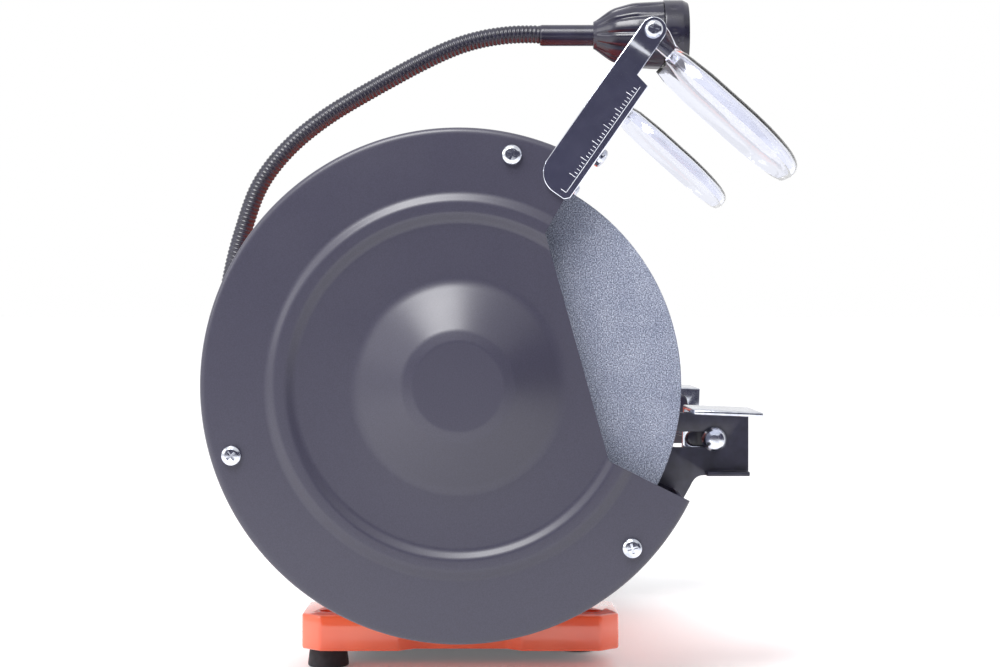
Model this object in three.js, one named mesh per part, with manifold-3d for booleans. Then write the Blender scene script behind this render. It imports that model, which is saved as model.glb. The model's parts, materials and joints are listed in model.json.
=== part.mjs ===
// Double-ended bench grinder with two 200 mm wheels, sheet guards, tool rests, tilting eye shields
// and a gooseneck lamp. Millimetres, +Z up. X runs along the motor shaft, the operator stands at -Y,
// and the origin is the centre of the base's underside.

import * as THREE from 'three';
import { mergeVertices } from 'three/addons/utils/BufferGeometryUtils.js';
import Module from 'manifold-3d';

const wasm = await Module();
wasm.setup();

// ---------------------------------------------------------------- driving dimensions

const GAP = 0.3; // between pieces that touch
const ROUND = 32; // facets round a large turned piece
const MEDIUM = 20; // and round a middling one
const SMALL = 10; // and round a fastener

const HOUSING_RADIUS = 75;
const SADDLE_HEIGHT = 53; // the housing's lowest line above the base's underside
const SHAFT_HEIGHT = SADDLE_HEIGHT + HOUSING_RADIUS;
const SHAFT_RADIUS = 12; // where the rotor sits
const SEAT_RADIUS = 10; // where the bearings sit
const ARBOR_RADIUS = 8; // where the wheels sit

const WHEEL_RADIUS = 100;
const WHEEL_WIDTH = 20;
const WHEEL_OFFSET = 149; // wheel's middle from the middle of the motor
const FLANGE_RADIUS = 35;
const FLANGE_WIDTH = 5;
const NUT_FLATS = 24;
const NUT_WIDTH = 13;
const ARBOR_END = WHEEL_WIDTH / 2 + FLANGE_WIDTH + NUT_WIDTH + 3; // arbor beyond the wheel's middle

const GUARD_SHEET = 2;
const GUARD_ROOM = 10.4; // wheel's edge to the guard's rim
const GUARD_SIDE_ROOM = 15.5; // wheel's side to the guard's face
const GUARD_WALL = WHEEL_RADIUS + GUARD_ROOM + GUARD_SHEET; // outside the rim
const GUARD_RADIUS = GUARD_WALL + GUARD_SHEET + GAP; // outside the cover's lip
const GUARD_HALF = WHEEL_WIDTH / 2 + GUARD_SIDE_ROOM;
const GUARD_BORE = 34; // hole in the back plate for the end bell's boss
const MOUTH_TOP = 60.5; // degrees above the horizontal, where the guard stops
const MOUTH_BOTTOM = -26.5;
const MOUTH_TOP_RADIUS = 77.8; // ends of the straight edge across the mouth
const MOUTH_BOTTOM_RADIUS = 74.4;
const COVER_LIP = 7;
const HUB_TOP_RADIUS = 20;
const HUB_RADIUS = 46;
const HUB_HEIGHT = 13;
const BEAD_OUTER = WHEEL_RADIUS - 14.6;
const BEAD_INNER = BEAD_OUTER - 12.4;
const BEAD_HEIGHT = 2.2;
const COVER_SCREW_RADIUS = GUARD_RADIUS - 9.7; // pitch radius of the cover's screws
const TAB_HALF = 7; // half width of the tab behind each screw
const COVER_SCREW_ANGLES = [77, 197, 317];
const SCREW_SHANK = 2;
const SCREW_HEAD = 4.45;
const SCREW_HEAD_HEIGHT = 2.8;

const HOUSING_WALL = 4;
const BELL_LENGTH = 58;
const BELL_FACE = WHEEL_OFFSET - GUARD_HALF - GAP;
const HOUSING_HALF = BELL_FACE - BELL_LENGTH - GAP;
const BELL_PAD_RADIUS = 48; // the end bell's face that carries the guard
const BEARING_RADIUS = 23.5;
const BEARING_WIDTH = 14;
const BEARING_START = BELL_FACE - 24.2;
const AIR_GAP = 0.8;
const COIL_OVERHANG = 14;
const STACK_HALF = HOUSING_HALF - COIL_OVERHANG - 6; // half the length of the laminations
const ROTOR_RADIUS = HOUSING_RADIUS - 33.8;
const SLOT_COUNT = 12;
const SLOT_WIDTH = 7;
const SLOT_DEPTH = 16;

const BASE_HALF_LENGTH = BELL_FACE - 18.2; // the base stands between the guards
const BASE_HALF_WIDTH = 75.6;
const BASE_PAD_HEIGHT = 17;
const BASE_CHAMFER = 9;
const BASE_NOTCH_DEPTH = 7; // hollow in the middle of each end face
const BASE_NOTCH_MOUTH = 29;
const BASE_NOTCH_FLOOR = 21.5;
const BASE_WAIST_DEPTH = 6; // hollow along each long side
const BASE_WAIST_HALF = 50;
const PEDESTAL_HALF_LENGTH = HOUSING_HALF - 5;
const PEDESTAL_HALF_WIDTH = 50;
const PEDESTAL_TOP = SADDLE_HEIGHT + 21;
const BASE_WALL = 5;
const LEDGE = 6;
const PLATE_SHEET = 1.5;
const BOLT_HOLE_RADIUS = 4.2;
const BOLT_HOLE_X = BASE_HALF_LENGTH - 17;
const BOLT_HOLE_Y = BASE_HALF_WIDTH - 12.2;
const CAVITY_HALF_LENGTH = BOLT_HOLE_X - 10;
const CAVITY_HALF_WIDTH = BASE_HALF_WIDTH - 9.6;

const FOOT_HEIGHT = 8.9;
const FOOT_TOP_RADIUS = 8.9;
const FOOT_SOLE_RADIUS = 10;
const FOOT_BORE = 3.4;
const FRONT_FOOT_X = 38;
const FRONT_FOOT_Y = 58;

const REST_BOLT_Y = WHEEL_RADIUS + 18.3; // in front of the shaft
const REST_BOLT_DROP = 26.6; // below the shaft
const REST_BOLT_SHANK = 3;
const REST_BOLT_HEAD = 5.8;
const REST_TILT = 2.3; // degrees, outer edge down
const REST_TOP = 15.4; // plate's top above the bolt
const REST_SHEET = 1.9;
const REST_INNER = 14.6; // plate's wheel edge from the bolt
const REST_OUTER = 15.9;
const REST_FLANGE_DROP = 10; // flange below the bolt
const REST_SLOT_INNER = 13;
const REST_SLOT_OUTER = 6.2;
const REST_SLOT_HALF = 3.6;
const REST_BRACKET_SHEET = 2.5;
const REST_BRACKET_TOP = 14.1; // below the shaft
const REST_BRACKET_BOTTOM = 43.3;
const REST_BRACKET_FRONT = REST_BOLT_Y + 16;
const REST_BRACKET_FLANGE = 6;
const KNOB_RADIUS = 13;
const KNOB_WIDTH = 12;
const KNOB_LOBES = 6;

const ARM_TILT = 95.5 - MOUTH_TOP; // degrees that the arm is turned from upright
const ARM_FOOT_RADIUS = WHEEL_RADIUS - 5.5; // the arm's lower front corner, from the shaft
const ARM_FOOT_ANGLE = MOUTH_TOP - 1.1;
const ARM_WIDTH = 18.2;
const ARM_LENGTH = 63.7;
const ARM_SHEET = 1.5;
const ARM_CORNER = 10.5;
const ARM_JOGGLE_STEP = 4;
const ARM_JOGGLE_LENGTH = 11;
const TONGUE_RADIUS = 5.7;
const PIVOT_ALONG = 85;
const ARM_FLANGE_START = WHEEL_RADIUS + 3.5 - ARM_FOOT_RADIUS;
const ARM_FLANGE_END = 60;
const ARM_FLANGE_INNER = 20; // how far the flange reaches past the wheel's middle
const CLAMP_ALONG = GUARD_RADIUS + 6.4 - ARM_FOOT_RADIUS;
const ARM_SLOT_START = CLAMP_ALONG - 11.6;
const ARM_SLOT_END = CLAMP_ALONG + 17.4;
const ARM_SLOT_HALF = 3;
const EAR_HALF_WIDTH = 12;
const EAR_SHEET = 2;
const EAR_START = CLAMP_ALONG - 10.6;
const EAR_END = CLAMP_ALONG + 9.4;
const CLAMP_SHANK = 2.5;

const SHIELD_TILT = 41.8; // degrees below the horizontal
const SHIELD_START = 12.7; // from the pivot
const SHIELD_END = 87;
const SHIELD_HALF_WIDTH = 42;
const SHIELD_RISE = 1.4; // window's top above the pivot
const SHIELD_DEPTH = 8.6;
const SHIELD_WALL = 2;
const SHIELD_CORNER = 28;
const SHIELD_ROOT_HALF = 26; // half width at the hinge end
const SHIELD_TAPER = 20; // length over which it widens
const SHIELD_EAR = 3;

const NECK_RADIUS = 4.7;
const NECK_SIDES = 8;
const SOCKET_RADIUS = 9;
const SOCKET_END = HOUSING_RADIUS + 15; // the socket's mouth, behind the shaft
const SOCKET_DROP = 38; // and below it
// Centre line of the gooseneck: distance behind the socket's mouth and height above it.
const NECK_LOWER = [[0, 0], [11, 1], [22, 8], [29.5, 20], [33.5, 36], [34.2, 53], [32.8, 71],
  [29.8, 89], [26.2, 104.5], [21, 121.2]];
const NECK_MIDDLE = [[21, 121.2], [17.6, 131.2], [11.6, 142], [3.2, 152.3], [-6, 161.3],
  [-20.6, 172.4], [-36.4, 182]];
const NECK_UPPER = [[-36.4, 182], [-54.3, 192.1], [-72.2, 201.6], [-90.1, 209.4],
  [-107.9, 213.5], [-122.2, 214.6], [-130, 214.2]];
const LAMP_REACH = 130.3; // lamp's rear end in front of the socket's mouth
const LAMP_RISE = 213.9; // lamp's axis above it
// Places along the lamp, forward of its rear end.
const LAMP_TUBE_LENGTH = 27.7;
const LAMP_BEZEL_START = 63.7;
const LAMP_LENGTH = 76.6;
const LAMP_RADIUS = 17.6;
const LAMP_WALL = 1.8;

const SWITCH_Z = 34; // middle of the motor switch above the underside
const SWITCH_HALF_WIDTH = 13;
const SWITCH_HALF_HEIGHT = 10;
const ROCKER_HALF_WIDTH = 9;
const ROCKER_HALF_HEIGHT = 7;
const ROCKER_TILT = 9; // degrees
const GLAND_X = 30;
const GLAND_Z = 34;
const GLAND_RADIUS = 7;

// ---------------------------------------------------------------- materials

function finish(color, roughness, metalness) {
  return new THREE.MeshStandardMaterial({ color, roughness, metalness });
}

const enamel = () => finish(0xf0583a, 0.3, 0);
const powderCoat = () => finish(0x5a586c, 0.55, 0.1);
const blackSteel = () => finish(0x3c3a48, 0.5, 0.2);
const zinc = () => finish(0xc9ccd6, 0.28, 1);
const chrome = () => finish(0xb8bcc8, 0.12, 1);
const abrasive = () => finish(0x8f96a8, 0.95, 0);
const steel = () => finish(0x9a9ca0, 0.35, 1);
const lamination = () => finish(0x6f7276, 0.5, 0.8);
const copper = () => finish(0xb06a3a, 0.4, 0.8);
const rubber = () => finish(0x24242a, 0.85, 0);
const blackPlastic = () => finish(0x34343f, 0.4, 0);
const clearPlastic = () => finish(0xe4e8f5, 0.08, 0);
const reflector = () => finish(0xf2f3f6, 0.15, 1);

// ---------------------------------------------------------------- solid helpers

const radians = THREE.MathUtils.degToRad;

// Merged vertices, no slivers of zero width, faces out.
function closed(geometry) {
  const plain = geometry.clone();
  plain.deleteAttribute('normal');
  plain.deleteAttribute('uv');
  const merged = mergeVertices(plain, 1e-4);
  const index = merged.index.array;
  const kept = [];
  for (let i = 0; i < index.length; i += 3) {
    const [a, b, c] = [index[i], index[i + 1], index[i + 2]];
    if (a !== b && b !== c && c !== a) kept.push(a, b, c);
  }
  merged.setIndex(kept);
  if (volume(merged) < 0) flip(merged);
  return merged;
}

function volume(geometry) {
  const index = geometry.index.array;
  const points = geometry.attributes.position;
  const corner = [new THREE.Vector3(), new THREE.Vector3(), new THREE.Vector3()];
  let total = 0;
  for (let i = 0; i < index.length; i += 3) {
    corner.forEach((v, k) => v.fromBufferAttribute(points, index[i + k]));
    total += corner[0].dot(corner[1].cross(corner[2])) / 6;
  }
  return total;
}

function flip(geometry) {
  const index = geometry.index.array;
  for (let i = 0; i < index.length; i += 3) {
    [index[i], index[i + 1]] = [index[i + 1], index[i]];
  }
}

function toSolid(geometry) {
  const plain = closed(geometry);
  return new wasm.Manifold(new wasm.Mesh({
    numProp: 3,
    vertProperties: new Float32Array(plain.attributes.position.array),
    triVerts: new Uint32Array(plain.index.array),
  }));
}

function toGeometry(solid) {
  const mesh = solid.getMesh();
  const geometry = new THREE.BufferGeometry();
  geometry.setAttribute('position', new THREE.BufferAttribute(new Float32Array(mesh.vertProperties), 3));
  geometry.setIndex(new THREE.BufferAttribute(new Uint32Array(mesh.triVerts), 1));
  return geometry;
}

function cut(body, ...tools) {
  return toGeometry(tools.reduce((solid, tool) => solid.subtract(toSolid(tool)), toSolid(body)));
}

function join(body, ...others) {
  return toGeometry(others.reduce((solid, other) => solid.add(toSolid(other)), toSolid(body)));
}

function common(body, other) {
  return toGeometry(toSolid(body).intersect(toSolid(other)));
}

// Turned about X; each profile point is [radius, x].
function turned(profile, facets = ROUND) {
  const points = profile.map(([radius, x]) => new THREE.Vector2(radius, x));
  if (profile[0][0] > 0) points.push(points[0].clone());
  return closed(new THREE.LatheGeometry(points, facets).rotateZ(-Math.PI / 2));
}

function ring(inner, outer, x0, x1, facets = ROUND) {
  return turned([[inner, x0], [outer, x0], [outer, x1], [inner, x1]], facets);
}

function rod(radius, x0, x1, facets = SMALL) {
  return turned([[0, x0], [radius, x0], [radius, x1], [0, x1]], facets);
}

function box(x0, x1, y0, y1, z0, z1) {
  const solid = new THREE.BoxGeometry(x1 - x0, y1 - y0, z1 - z0);
  return solid.translate((x0 + x1) / 2, (y0 + y1) / 2, (z0 + z1) / 2);
}

function outline(points) {
  return new THREE.Shape(points.map(([x, y]) => new THREE.Vector2(x, y)));
}

function extruded(shape, depth) {
  return new THREE.ExtrudeGeometry(shape, { depth, bevelEnabled: false, curveSegments: 5 });
}

// A shape drawn in Y and Z, with its thickness from x0 to x1.
function acrossX(shape, x0, x1) {
  const turn = new THREE.Matrix4().makeBasis(
    new THREE.Vector3(0, 1, 0), new THREE.Vector3(0, 0, 1), new THREE.Vector3(1, 0, 0));
  return extruded(shape, x1 - x0).applyMatrix4(turn).translate(x0, 0, 0);
}

// A shape drawn in Z and X, with its thickness from y0 to y1.
function acrossY(shape, y0, y1) {
  const turn = new THREE.Matrix4().makeBasis(
    new THREE.Vector3(0, 0, 1), new THREE.Vector3(1, 0, 0), new THREE.Vector3(0, 1, 0));
  return extruded(shape, y1 - y0).applyMatrix4(turn).translate(0, y0, 0);
}

// A slot with round ends, its middle line from p0 to p1 along the shape's first axis.
function slotShape(p0, p1, middle, half) {
  const shape = new THREE.Shape();
  shape.absarc(p1, middle, half, -Math.PI / 2, Math.PI / 2, false);
  shape.absarc(p0, middle, half, Math.PI / 2, Math.PI * 1.5, false);
  return shape;
}

// The left-hand copy of a right-hand piece.
function handed(geometry, side) {
  const copy = closed(geometry);
  if (side < 0) {
    copy.scale(-1, 1, 1);
    flip(copy);
  }
  return copy;
}

function add(parent, name, geometry, material, [x, y, z] = [0, 0, 0], tilt = 0) {
  const mesh = new THREE.Mesh(closed(geometry), material);
  mesh.name = name;
  mesh.position.set(x, y, z);
  mesh.rotation.x = radians(tilt);
  parent.add(mesh);
}

// ---------------------------------------------------------------- base and feet

function basePlan() {
  const length = BASE_HALF_LENGTH;
  const width = BASE_HALF_WIDTH;
  const quarter = [
    [length - BASE_NOTCH_DEPTH, BASE_NOTCH_FLOOR],
    [length, BASE_NOTCH_MOUTH],
    [length, width - BASE_CHAMFER],
    [length - BASE_CHAMFER, width],
    [BASE_WAIST_HALF + BASE_WAIST_DEPTH, width],
    [BASE_WAIST_HALF, width - BASE_WAIST_DEPTH],
  ];
  const mirrorX = ([x, y]) => [-x, y];
  const mirrorY = ([x, y]) => [x, -y];
  const half = [...quarter, ...quarter.map(mirrorX).reverse()];
  return outline([...half, ...half.map(mirrorY).reverse()]);
}

function housingBore() {
  return rod(HOUSING_RADIUS + GAP, -200, 200, ROUND).translate(0, 0, SHAFT_HEIGHT);
}

function boltHoles() {
  const places = [[1, 1], [1, -1], [-1, 1], [-1, -1]];
  return places.map(([sx, sy]) =>
    new THREE.CylinderGeometry(BOLT_HOLE_RADIUS, BOLT_HOLE_RADIUS, 60, SMALL)
      .rotateX(Math.PI / 2)
      .translate(sx * BOLT_HOLE_X, sy * BOLT_HOLE_Y, 0));
}

function base() {
  const pads = extruded(basePlan(), BASE_PAD_HEIGHT);
  const pedestal = box(-PEDESTAL_HALF_LENGTH, PEDESTAL_HALF_LENGTH,
    -PEDESTAL_HALF_WIDTH, PEDESTAL_HALF_WIDTH, BASE_PAD_HEIGHT / 2, PEDESTAL_TOP);
  const innerLength = PEDESTAL_HALF_LENGTH - BASE_WALL;
  const innerWidth = PEDESTAL_HALF_WIDTH - BASE_WALL;
  const hollow = box(-innerLength, innerLength, -innerWidth, innerWidth,
    -1, SADDLE_HEIGHT - BASE_WALL);
  const recess = box(-CAVITY_HALF_LENGTH, CAVITY_HALF_LENGTH,
    -CAVITY_HALF_WIDTH, CAVITY_HALF_WIDTH, -1, PLATE_SHEET + GAP);
  const room = box(LEDGE - CAVITY_HALF_LENGTH, CAVITY_HALF_LENGTH - LEDGE,
    LEDGE - CAVITY_HALF_WIDTH, CAVITY_HALF_WIDTH - LEDGE, -1, BASE_PAD_HEIGHT - BASE_WALL);
  const switchHole = box(-SWITCH_HALF_WIDTH, SWITCH_HALF_WIDTH, -PEDESTAL_HALF_WIDTH - 1,
    -innerWidth + 1, SWITCH_Z - SWITCH_HALF_HEIGHT, SWITCH_Z + SWITCH_HALF_HEIGHT);
  const glandHole = new THREE.CylinderGeometry(GLAND_RADIUS, GLAND_RADIUS, 3 * BASE_WALL, MEDIUM)
    .translate(GLAND_X, PEDESTAL_HALF_WIDTH, GLAND_Z);
  const casting = cut(join(pads, pedestal), housingBore(), hollow, recess, room, switchHole,
    glandHole, ...boltHoles());
  return join(casting, ...footBosses(FOOT_SOLE_RADIUS, 0, BASE_PAD_HEIGHT - BASE_WALL / 2));
}

// The front feet stand on bosses that pass through the bottom plate.
function footBosses(radius, bottom, top) {
  return [-1, 1].map((side) => new THREE.CylinderGeometry(radius, radius, top - bottom, MEDIUM)
    .rotateX(Math.PI / 2)
    .translate(side * FRONT_FOOT_X, -FRONT_FOOT_Y, (top + bottom) / 2));
}

function bottomPlate() {
  const length = CAVITY_HALF_LENGTH - GAP;
  const width = CAVITY_HALF_WIDTH - GAP;
  return cut(box(-length, length, -width, width, 0, PLATE_SHEET),
    ...footBosses(FOOT_SOLE_RADIUS + GAP, -1, PLATE_SHEET + 1));
}

function foot() {
  const profile = [[FOOT_BORE, -FOOT_HEIGHT], [FOOT_SOLE_RADIUS, -FOOT_HEIGHT],
    [FOOT_TOP_RADIUS, 0], [FOOT_BORE, 0]];
  const points = [...profile, profile[0]].map(([r, z]) => new THREE.Vector2(r, z));
  return new THREE.LatheGeometry(points, MEDIUM).rotateX(Math.PI / 2);
}

function switchBody() {
  const front = -PEDESTAL_HALF_WIDTH;
  const hole = box(-ROCKER_HALF_WIDTH - GAP, ROCKER_HALF_WIDTH + GAP, front - 10, front + 6,
    -ROCKER_HALF_HEIGHT - GAP, ROCKER_HALF_HEIGHT + GAP);
  const rim = box(-SWITCH_HALF_WIDTH - 2, SWITCH_HALF_WIDTH + 2, front - 2, front - GAP,
    -SWITCH_HALF_HEIGHT - 2, SWITCH_HALF_HEIGHT + 2);
  const body = box(GAP - SWITCH_HALF_WIDTH, SWITCH_HALF_WIDTH - GAP, front - 1, front + 16,
    GAP - SWITCH_HALF_HEIGHT, SWITCH_HALF_HEIGHT - GAP);
  return cut(join(rim, body), hole);
}

// The rocker is a shallow V that turns about an axis just behind its face.
function rocker() {
  const end = ROCKER_HALF_HEIGHT - 1;
  const side = outline([[-3.4, -end], [-2.2, 0], [-3.4, end], [1, end], [3, 0], [1, -end]]);
  return acrossX(side, -ROCKER_HALF_WIDTH, ROCKER_HALF_WIDTH);
}

function gland() {
  const profile = [[3.2, -9], [GLAND_RADIUS - GAP, -9], [GLAND_RADIUS - GAP, GAP],
    [GLAND_RADIUS + 3, GAP], [GLAND_RADIUS + 3, 4], [5.5, 12], [3.2, 12]];
  return turned(profile, MEDIUM).rotateZ(Math.PI / 2);
}

function addBase(group) {
  add(group, 'base', base(), enamel());
  add(group, 'base_bottom_plate', bottomPlate(), blackSteel());
  for (const side of [-1, 1]) {
    const hand = side < 0 ? 'left' : 'right';
    add(group, `foot_rear_${hand}`, foot(), rubber(), [side * BOLT_HOLE_X, BOLT_HOLE_Y, -GAP]);
    add(group, `foot_front_${hand}`, foot(), rubber(), [side * FRONT_FOOT_X, -FRONT_FOOT_Y, -GAP]);
  }
  add(group, 'switch_body', switchBody(), blackPlastic(), [0, 0, SWITCH_Z]);
  add(group, 'switch_rocker', rocker(), blackPlastic(), [0, -PEDESTAL_HALF_WIDTH, SWITCH_Z], ROCKER_TILT);
  add(group, 'cord_gland', gland(), rubber(), [GLAND_X, PEDESTAL_HALF_WIDTH, GLAND_Z]);
}

// ---------------------------------------------------------------- motor

function endBell() {
  const start = HOUSING_HALF + GAP;
  const face = BELL_FACE;
  const seat = BEARING_RADIUS + GAP;
  const seatEnd = BEARING_START + BEARING_WIDTH + GAP;
  const inner = HOUSING_RADIUS - HOUSING_WALL;
  return turned([
    [inner, start], [HOUSING_RADIUS, start], [HOUSING_RADIUS, start + 8], [HOUSING_RADIUS - 13, face - 25],
    [BELL_PAD_RADIUS, face - 11], [BELL_PAD_RADIUS, face], [GUARD_BORE - GAP, face],
    [GUARD_BORE - GAP, face + 3.5], [14, face + 3.5], [14, seatEnd], [seat, seatEnd],
    [seat, BEARING_START - 2], [seat + 5, BEARING_START - 2], [seat + 5, face - 15],
    [HOUSING_RADIUS - 33, face - 15], [HOUSING_RADIUS - 18, face - 30], [inner, start + 6]], MEDIUM);
}

function bearing() {
  const inner = SEAT_RADIUS + GAP;
  const end = BEARING_START + BEARING_WIDTH;
  return turned([[inner, BEARING_START], [13, BEARING_START], [13.5, BEARING_START + 1],
    [20, BEARING_START + 1], [20.5, BEARING_START], [BEARING_RADIUS, BEARING_START], [BEARING_RADIUS, end],
    [20.5, end], [20, end - 1], [13.5, end - 1], [13, end], [inner, end]], MEDIUM);
}

function slotTools(inner, outer, width, half) {
  const tools = [];
  for (let i = 0; i < SLOT_COUNT; i += 1) {
    tools.push(box(-half, half, -width / 2, width / 2, inner, outer).rotateX(i * 2 * Math.PI / SLOT_COUNT));
  }
  return tools;
}

function statorCore() {
  const inner = ROTOR_RADIUS + AIR_GAP;
  const core = ring(inner, HOUSING_RADIUS - HOUSING_WALL - GAP, -STACK_HALF, STACK_HALF);
  return cut(core, ...slotTools(inner - 2, inner + SLOT_DEPTH, SLOT_WIDTH, STACK_HALF + 1));
}

// Copper in every slot, tied together by the end turns.
function statorWinding() {
  const inner = ROTOR_RADIUS + AIR_GAP + 3;
  const outer = ROTOR_RADIUS + AIR_GAP + SLOT_DEPTH - GAP;
  const near = STACK_HALF + GAP;
  const far = STACK_HALF + COIL_OVERHANG;
  const endTurn = ring(inner, outer + 6, near, far, MEDIUM);
  return join(endTurn, handed(endTurn, -1), ...slotTools(inner, outer, SLOT_WIDTH - 2 * GAP, near + 2));
}

function shaft() {
  const shoulder = WHEEL_OFFSET - WHEEL_WIDTH / 2 - FLANGE_WIDTH - 3 * GAP;
  const end = WHEEL_OFFSET + ARBOR_END;
  const step = BEARING_START - 3;
  return turned([[0, -end], [ARBOR_RADIUS - 1, -end], [ARBOR_RADIUS, 1 - end], [ARBOR_RADIUS, -shoulder],
    [SEAT_RADIUS, -shoulder], [SEAT_RADIUS, -step], [SHAFT_RADIUS, -step], [SHAFT_RADIUS, step],
    [SEAT_RADIUS, step], [SEAT_RADIUS, shoulder], [ARBOR_RADIUS, shoulder], [ARBOR_RADIUS, end - 1],
    [ARBOR_RADIUS - 1, end], [0, end]], SMALL);
}

function addMotor(group) {
  const motor = new THREE.Group();
  motor.position.z = SHAFT_HEIGHT;
  group.add(motor);
  add(motor, 'motor_housing',
    ring(HOUSING_RADIUS - HOUSING_WALL, HOUSING_RADIUS, -HOUSING_HALF, HOUSING_HALF), enamel());
  add(motor, 'stator_core', statorCore(), lamination());
  add(motor, 'stator_winding', statorWinding(), copper());
  add(motor, 'rotor_core',
    ring(SHAFT_RADIUS + GAP, ROTOR_RADIUS, -STACK_HALF, STACK_HALF, MEDIUM), lamination());
  add(motor, 'shaft', shaft(), steel());
  for (const side of [-1, 1]) {
    const hand = side < 0 ? 'left' : 'right';
    add(motor, `end_bell_${hand}`, handed(endBell(), side), enamel());
    add(motor, `bearing_${hand}`, handed(bearing(), side), steel());
  }
}

// ---------------------------------------------------------------- wheel and its clamping pieces

function wheel() {
  const half = WHEEL_WIDTH / 2;
  const bore = ARBOR_RADIUS + GAP;
  const edge = WHEEL_RADIUS - 0.6;
  return turned([[bore, -half], [edge, -half], [WHEEL_RADIUS, 0.6 - half], [WHEEL_RADIUS, half - 0.6],
    [edge, half], [bore, half]], ROUND);
}

// Relieved on the wheel's side, so that it bears only near its rim.
function wheelFlange() {
  const near = WHEEL_WIDTH / 2 + GAP;
  const bore = ARBOR_RADIUS + GAP;
  const bearingRing = FLANGE_RADIUS - 10;
  return turned([[bore, near + 1], [bearingRing, near + 1], [bearingRing + 1, near], [FLANGE_RADIUS, near],
    [FLANGE_RADIUS, near + 2.2], [FLANGE_RADIUS - 11, near + FLANGE_WIDTH],
    [bore, near + FLANGE_WIDTH]], MEDIUM);
}

function shaftNut() {
  const start = WHEEL_WIDTH / 2 + FLANGE_WIDTH + 2 * GAP;
  const hexagon = new THREE.CylinderGeometry(1, 1, NUT_WIDTH, 6);
  const cornerRadius = NUT_FLATS / Math.sqrt(3);
  hexagon.scale(cornerRadius, 1, cornerRadius).rotateZ(Math.PI / 2).translate(start + NUT_WIDTH / 2, 0, 0);
  return cut(hexagon, rod(ARBOR_RADIUS + GAP, 0, start + NUT_WIDTH + 1));
}

// ---------------------------------------------------------------- guard

// A point at an angle above the horizontal, in front of the shaft.
function frontPoint(radius, degrees) {
  return [-radius * Math.cos(radians(degrees)), radius * Math.sin(radians(degrees))];
}

function guardMouth() {
  const far = 2 * GUARD_RADIUS;
  const shape = outline([frontPoint(MOUTH_TOP_RADIUS, MOUTH_TOP), frontPoint(far, MOUTH_TOP),
    frontPoint(far, MOUTH_BOTTOM), frontPoint(MOUTH_BOTTOM_RADIUS, MOUTH_BOTTOM)]);
  return acrossX(shape, -2 * GUARD_HALF, 2 * GUARD_HALF);
}

function screwHoles() {
  return COVER_SCREW_ANGLES.map((angle) => {
    const [y, z] = frontPoint(COVER_SCREW_RADIUS, angle);
    return rod(SCREW_SHANK + GAP, 0, 2 * GUARD_HALF).translate(0, y, z);
  });
}

function screwTab(angle) {
  const front = GUARD_HALF - GUARD_SHEET - GAP;
  return box(front - GUARD_SHEET, front, -TAB_HALF, TAB_HALF, COVER_SCREW_RADIUS - 6, GUARD_WALL - 1)
    .rotateX(radians(90 - angle));
}

// Bent out from the guard's upper edge, for the arm's clamp screw; drawn on the arm's own axes.
function clampEar() {
  const start = ARM_SHEET + GAP;
  const tab = box(-EAR_HALF_WIDTH, EAR_HALF_WIDTH, start, start + EAR_SHEET, EAR_START, EAR_END);
  const boss = new THREE.CylinderGeometry(6, 6, 4 + EAR_SHEET, SMALL)
    .translate(0, start + EAR_SHEET / 2 + 2, CLAMP_ALONG);
  const root = box(-EAR_HALF_WIDTH, EAR_HALF_WIDTH, start, start + 5, EAR_START, EAR_START + 3);
  const hole = new THREE.CylinderGeometry(CLAMP_SHANK + GAP, CLAMP_SHANK + GAP, 30, SMALL)
    .translate(0, 0, CLAMP_ALONG);
  return cut(join(tab, boss, root), hole)
    .rotateX(radians(ARM_TILT))
    .translate(0, ...frontPoint(ARM_FOOT_RADIUS, ARM_FOOT_ANGLE));
}

function guardBody() {
  const back = -GUARD_HALF;
  const front = GUARD_HALF - GUARD_SHEET - GAP;
  const inner = GUARD_WALL - GUARD_SHEET;
  const shell = turned([[GUARD_BORE, back], [GUARD_WALL, back], [GUARD_WALL, front], [inner, front],
    [inner, back + GUARD_SHEET], [GUARD_BORE, back + GUARD_SHEET]]);
  const open = cut(shell, guardMouth());
  return cut(join(open, ...COVER_SCREW_ANGLES.map(screwTab), clampEar()), ...screwHoles());
}

function guardCover() {
  const face = GUARD_HALF;
  const sheet = GUARD_SHEET;
  const skin = [[HUB_TOP_RADIUS, HUB_HEIGHT], [HUB_TOP_RADIUS + 5, HUB_HEIGHT - 1.2], [HUB_RADIUS, 0],
    [BEAD_INNER, 0], [BEAD_INNER + 3.5, BEAD_HEIGHT], [BEAD_OUTER - 3.5, BEAD_HEIGHT], [BEAD_OUTER, 0]];
  const outside = skin.map(([r, x]) => [r, face + x]);
  const inside = skin.slice(1, 3).map(([r, x]) => [r, face + x - sheet]).reverse();
  return cut(turned([[0, face + HUB_HEIGHT], ...outside, [GUARD_RADIUS - 2, face],
    [GUARD_RADIUS - 0.6, face - 0.6], [GUARD_RADIUS, face - 2], [GUARD_RADIUS, face - COVER_LIP],
    [GUARD_RADIUS - sheet, face - COVER_LIP], [GUARD_RADIUS - sheet, face - sheet], ...inside,
    [0, face + HUB_HEIGHT - sheet]]), guardMouth(), ...screwHoles());
}

function panScrew(shankRadius, headRadius, headHeight, shankLength) {
  return turned([[0, -shankLength], [shankRadius, -shankLength], [shankRadius, GAP], [headRadius, GAP],
    [headRadius, GAP + headHeight * 0.5], [headRadius * 0.75, GAP + headHeight * 0.9],
    [0, GAP + headHeight]], SMALL);
}

// ---------------------------------------------------------------- tool rest

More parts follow.
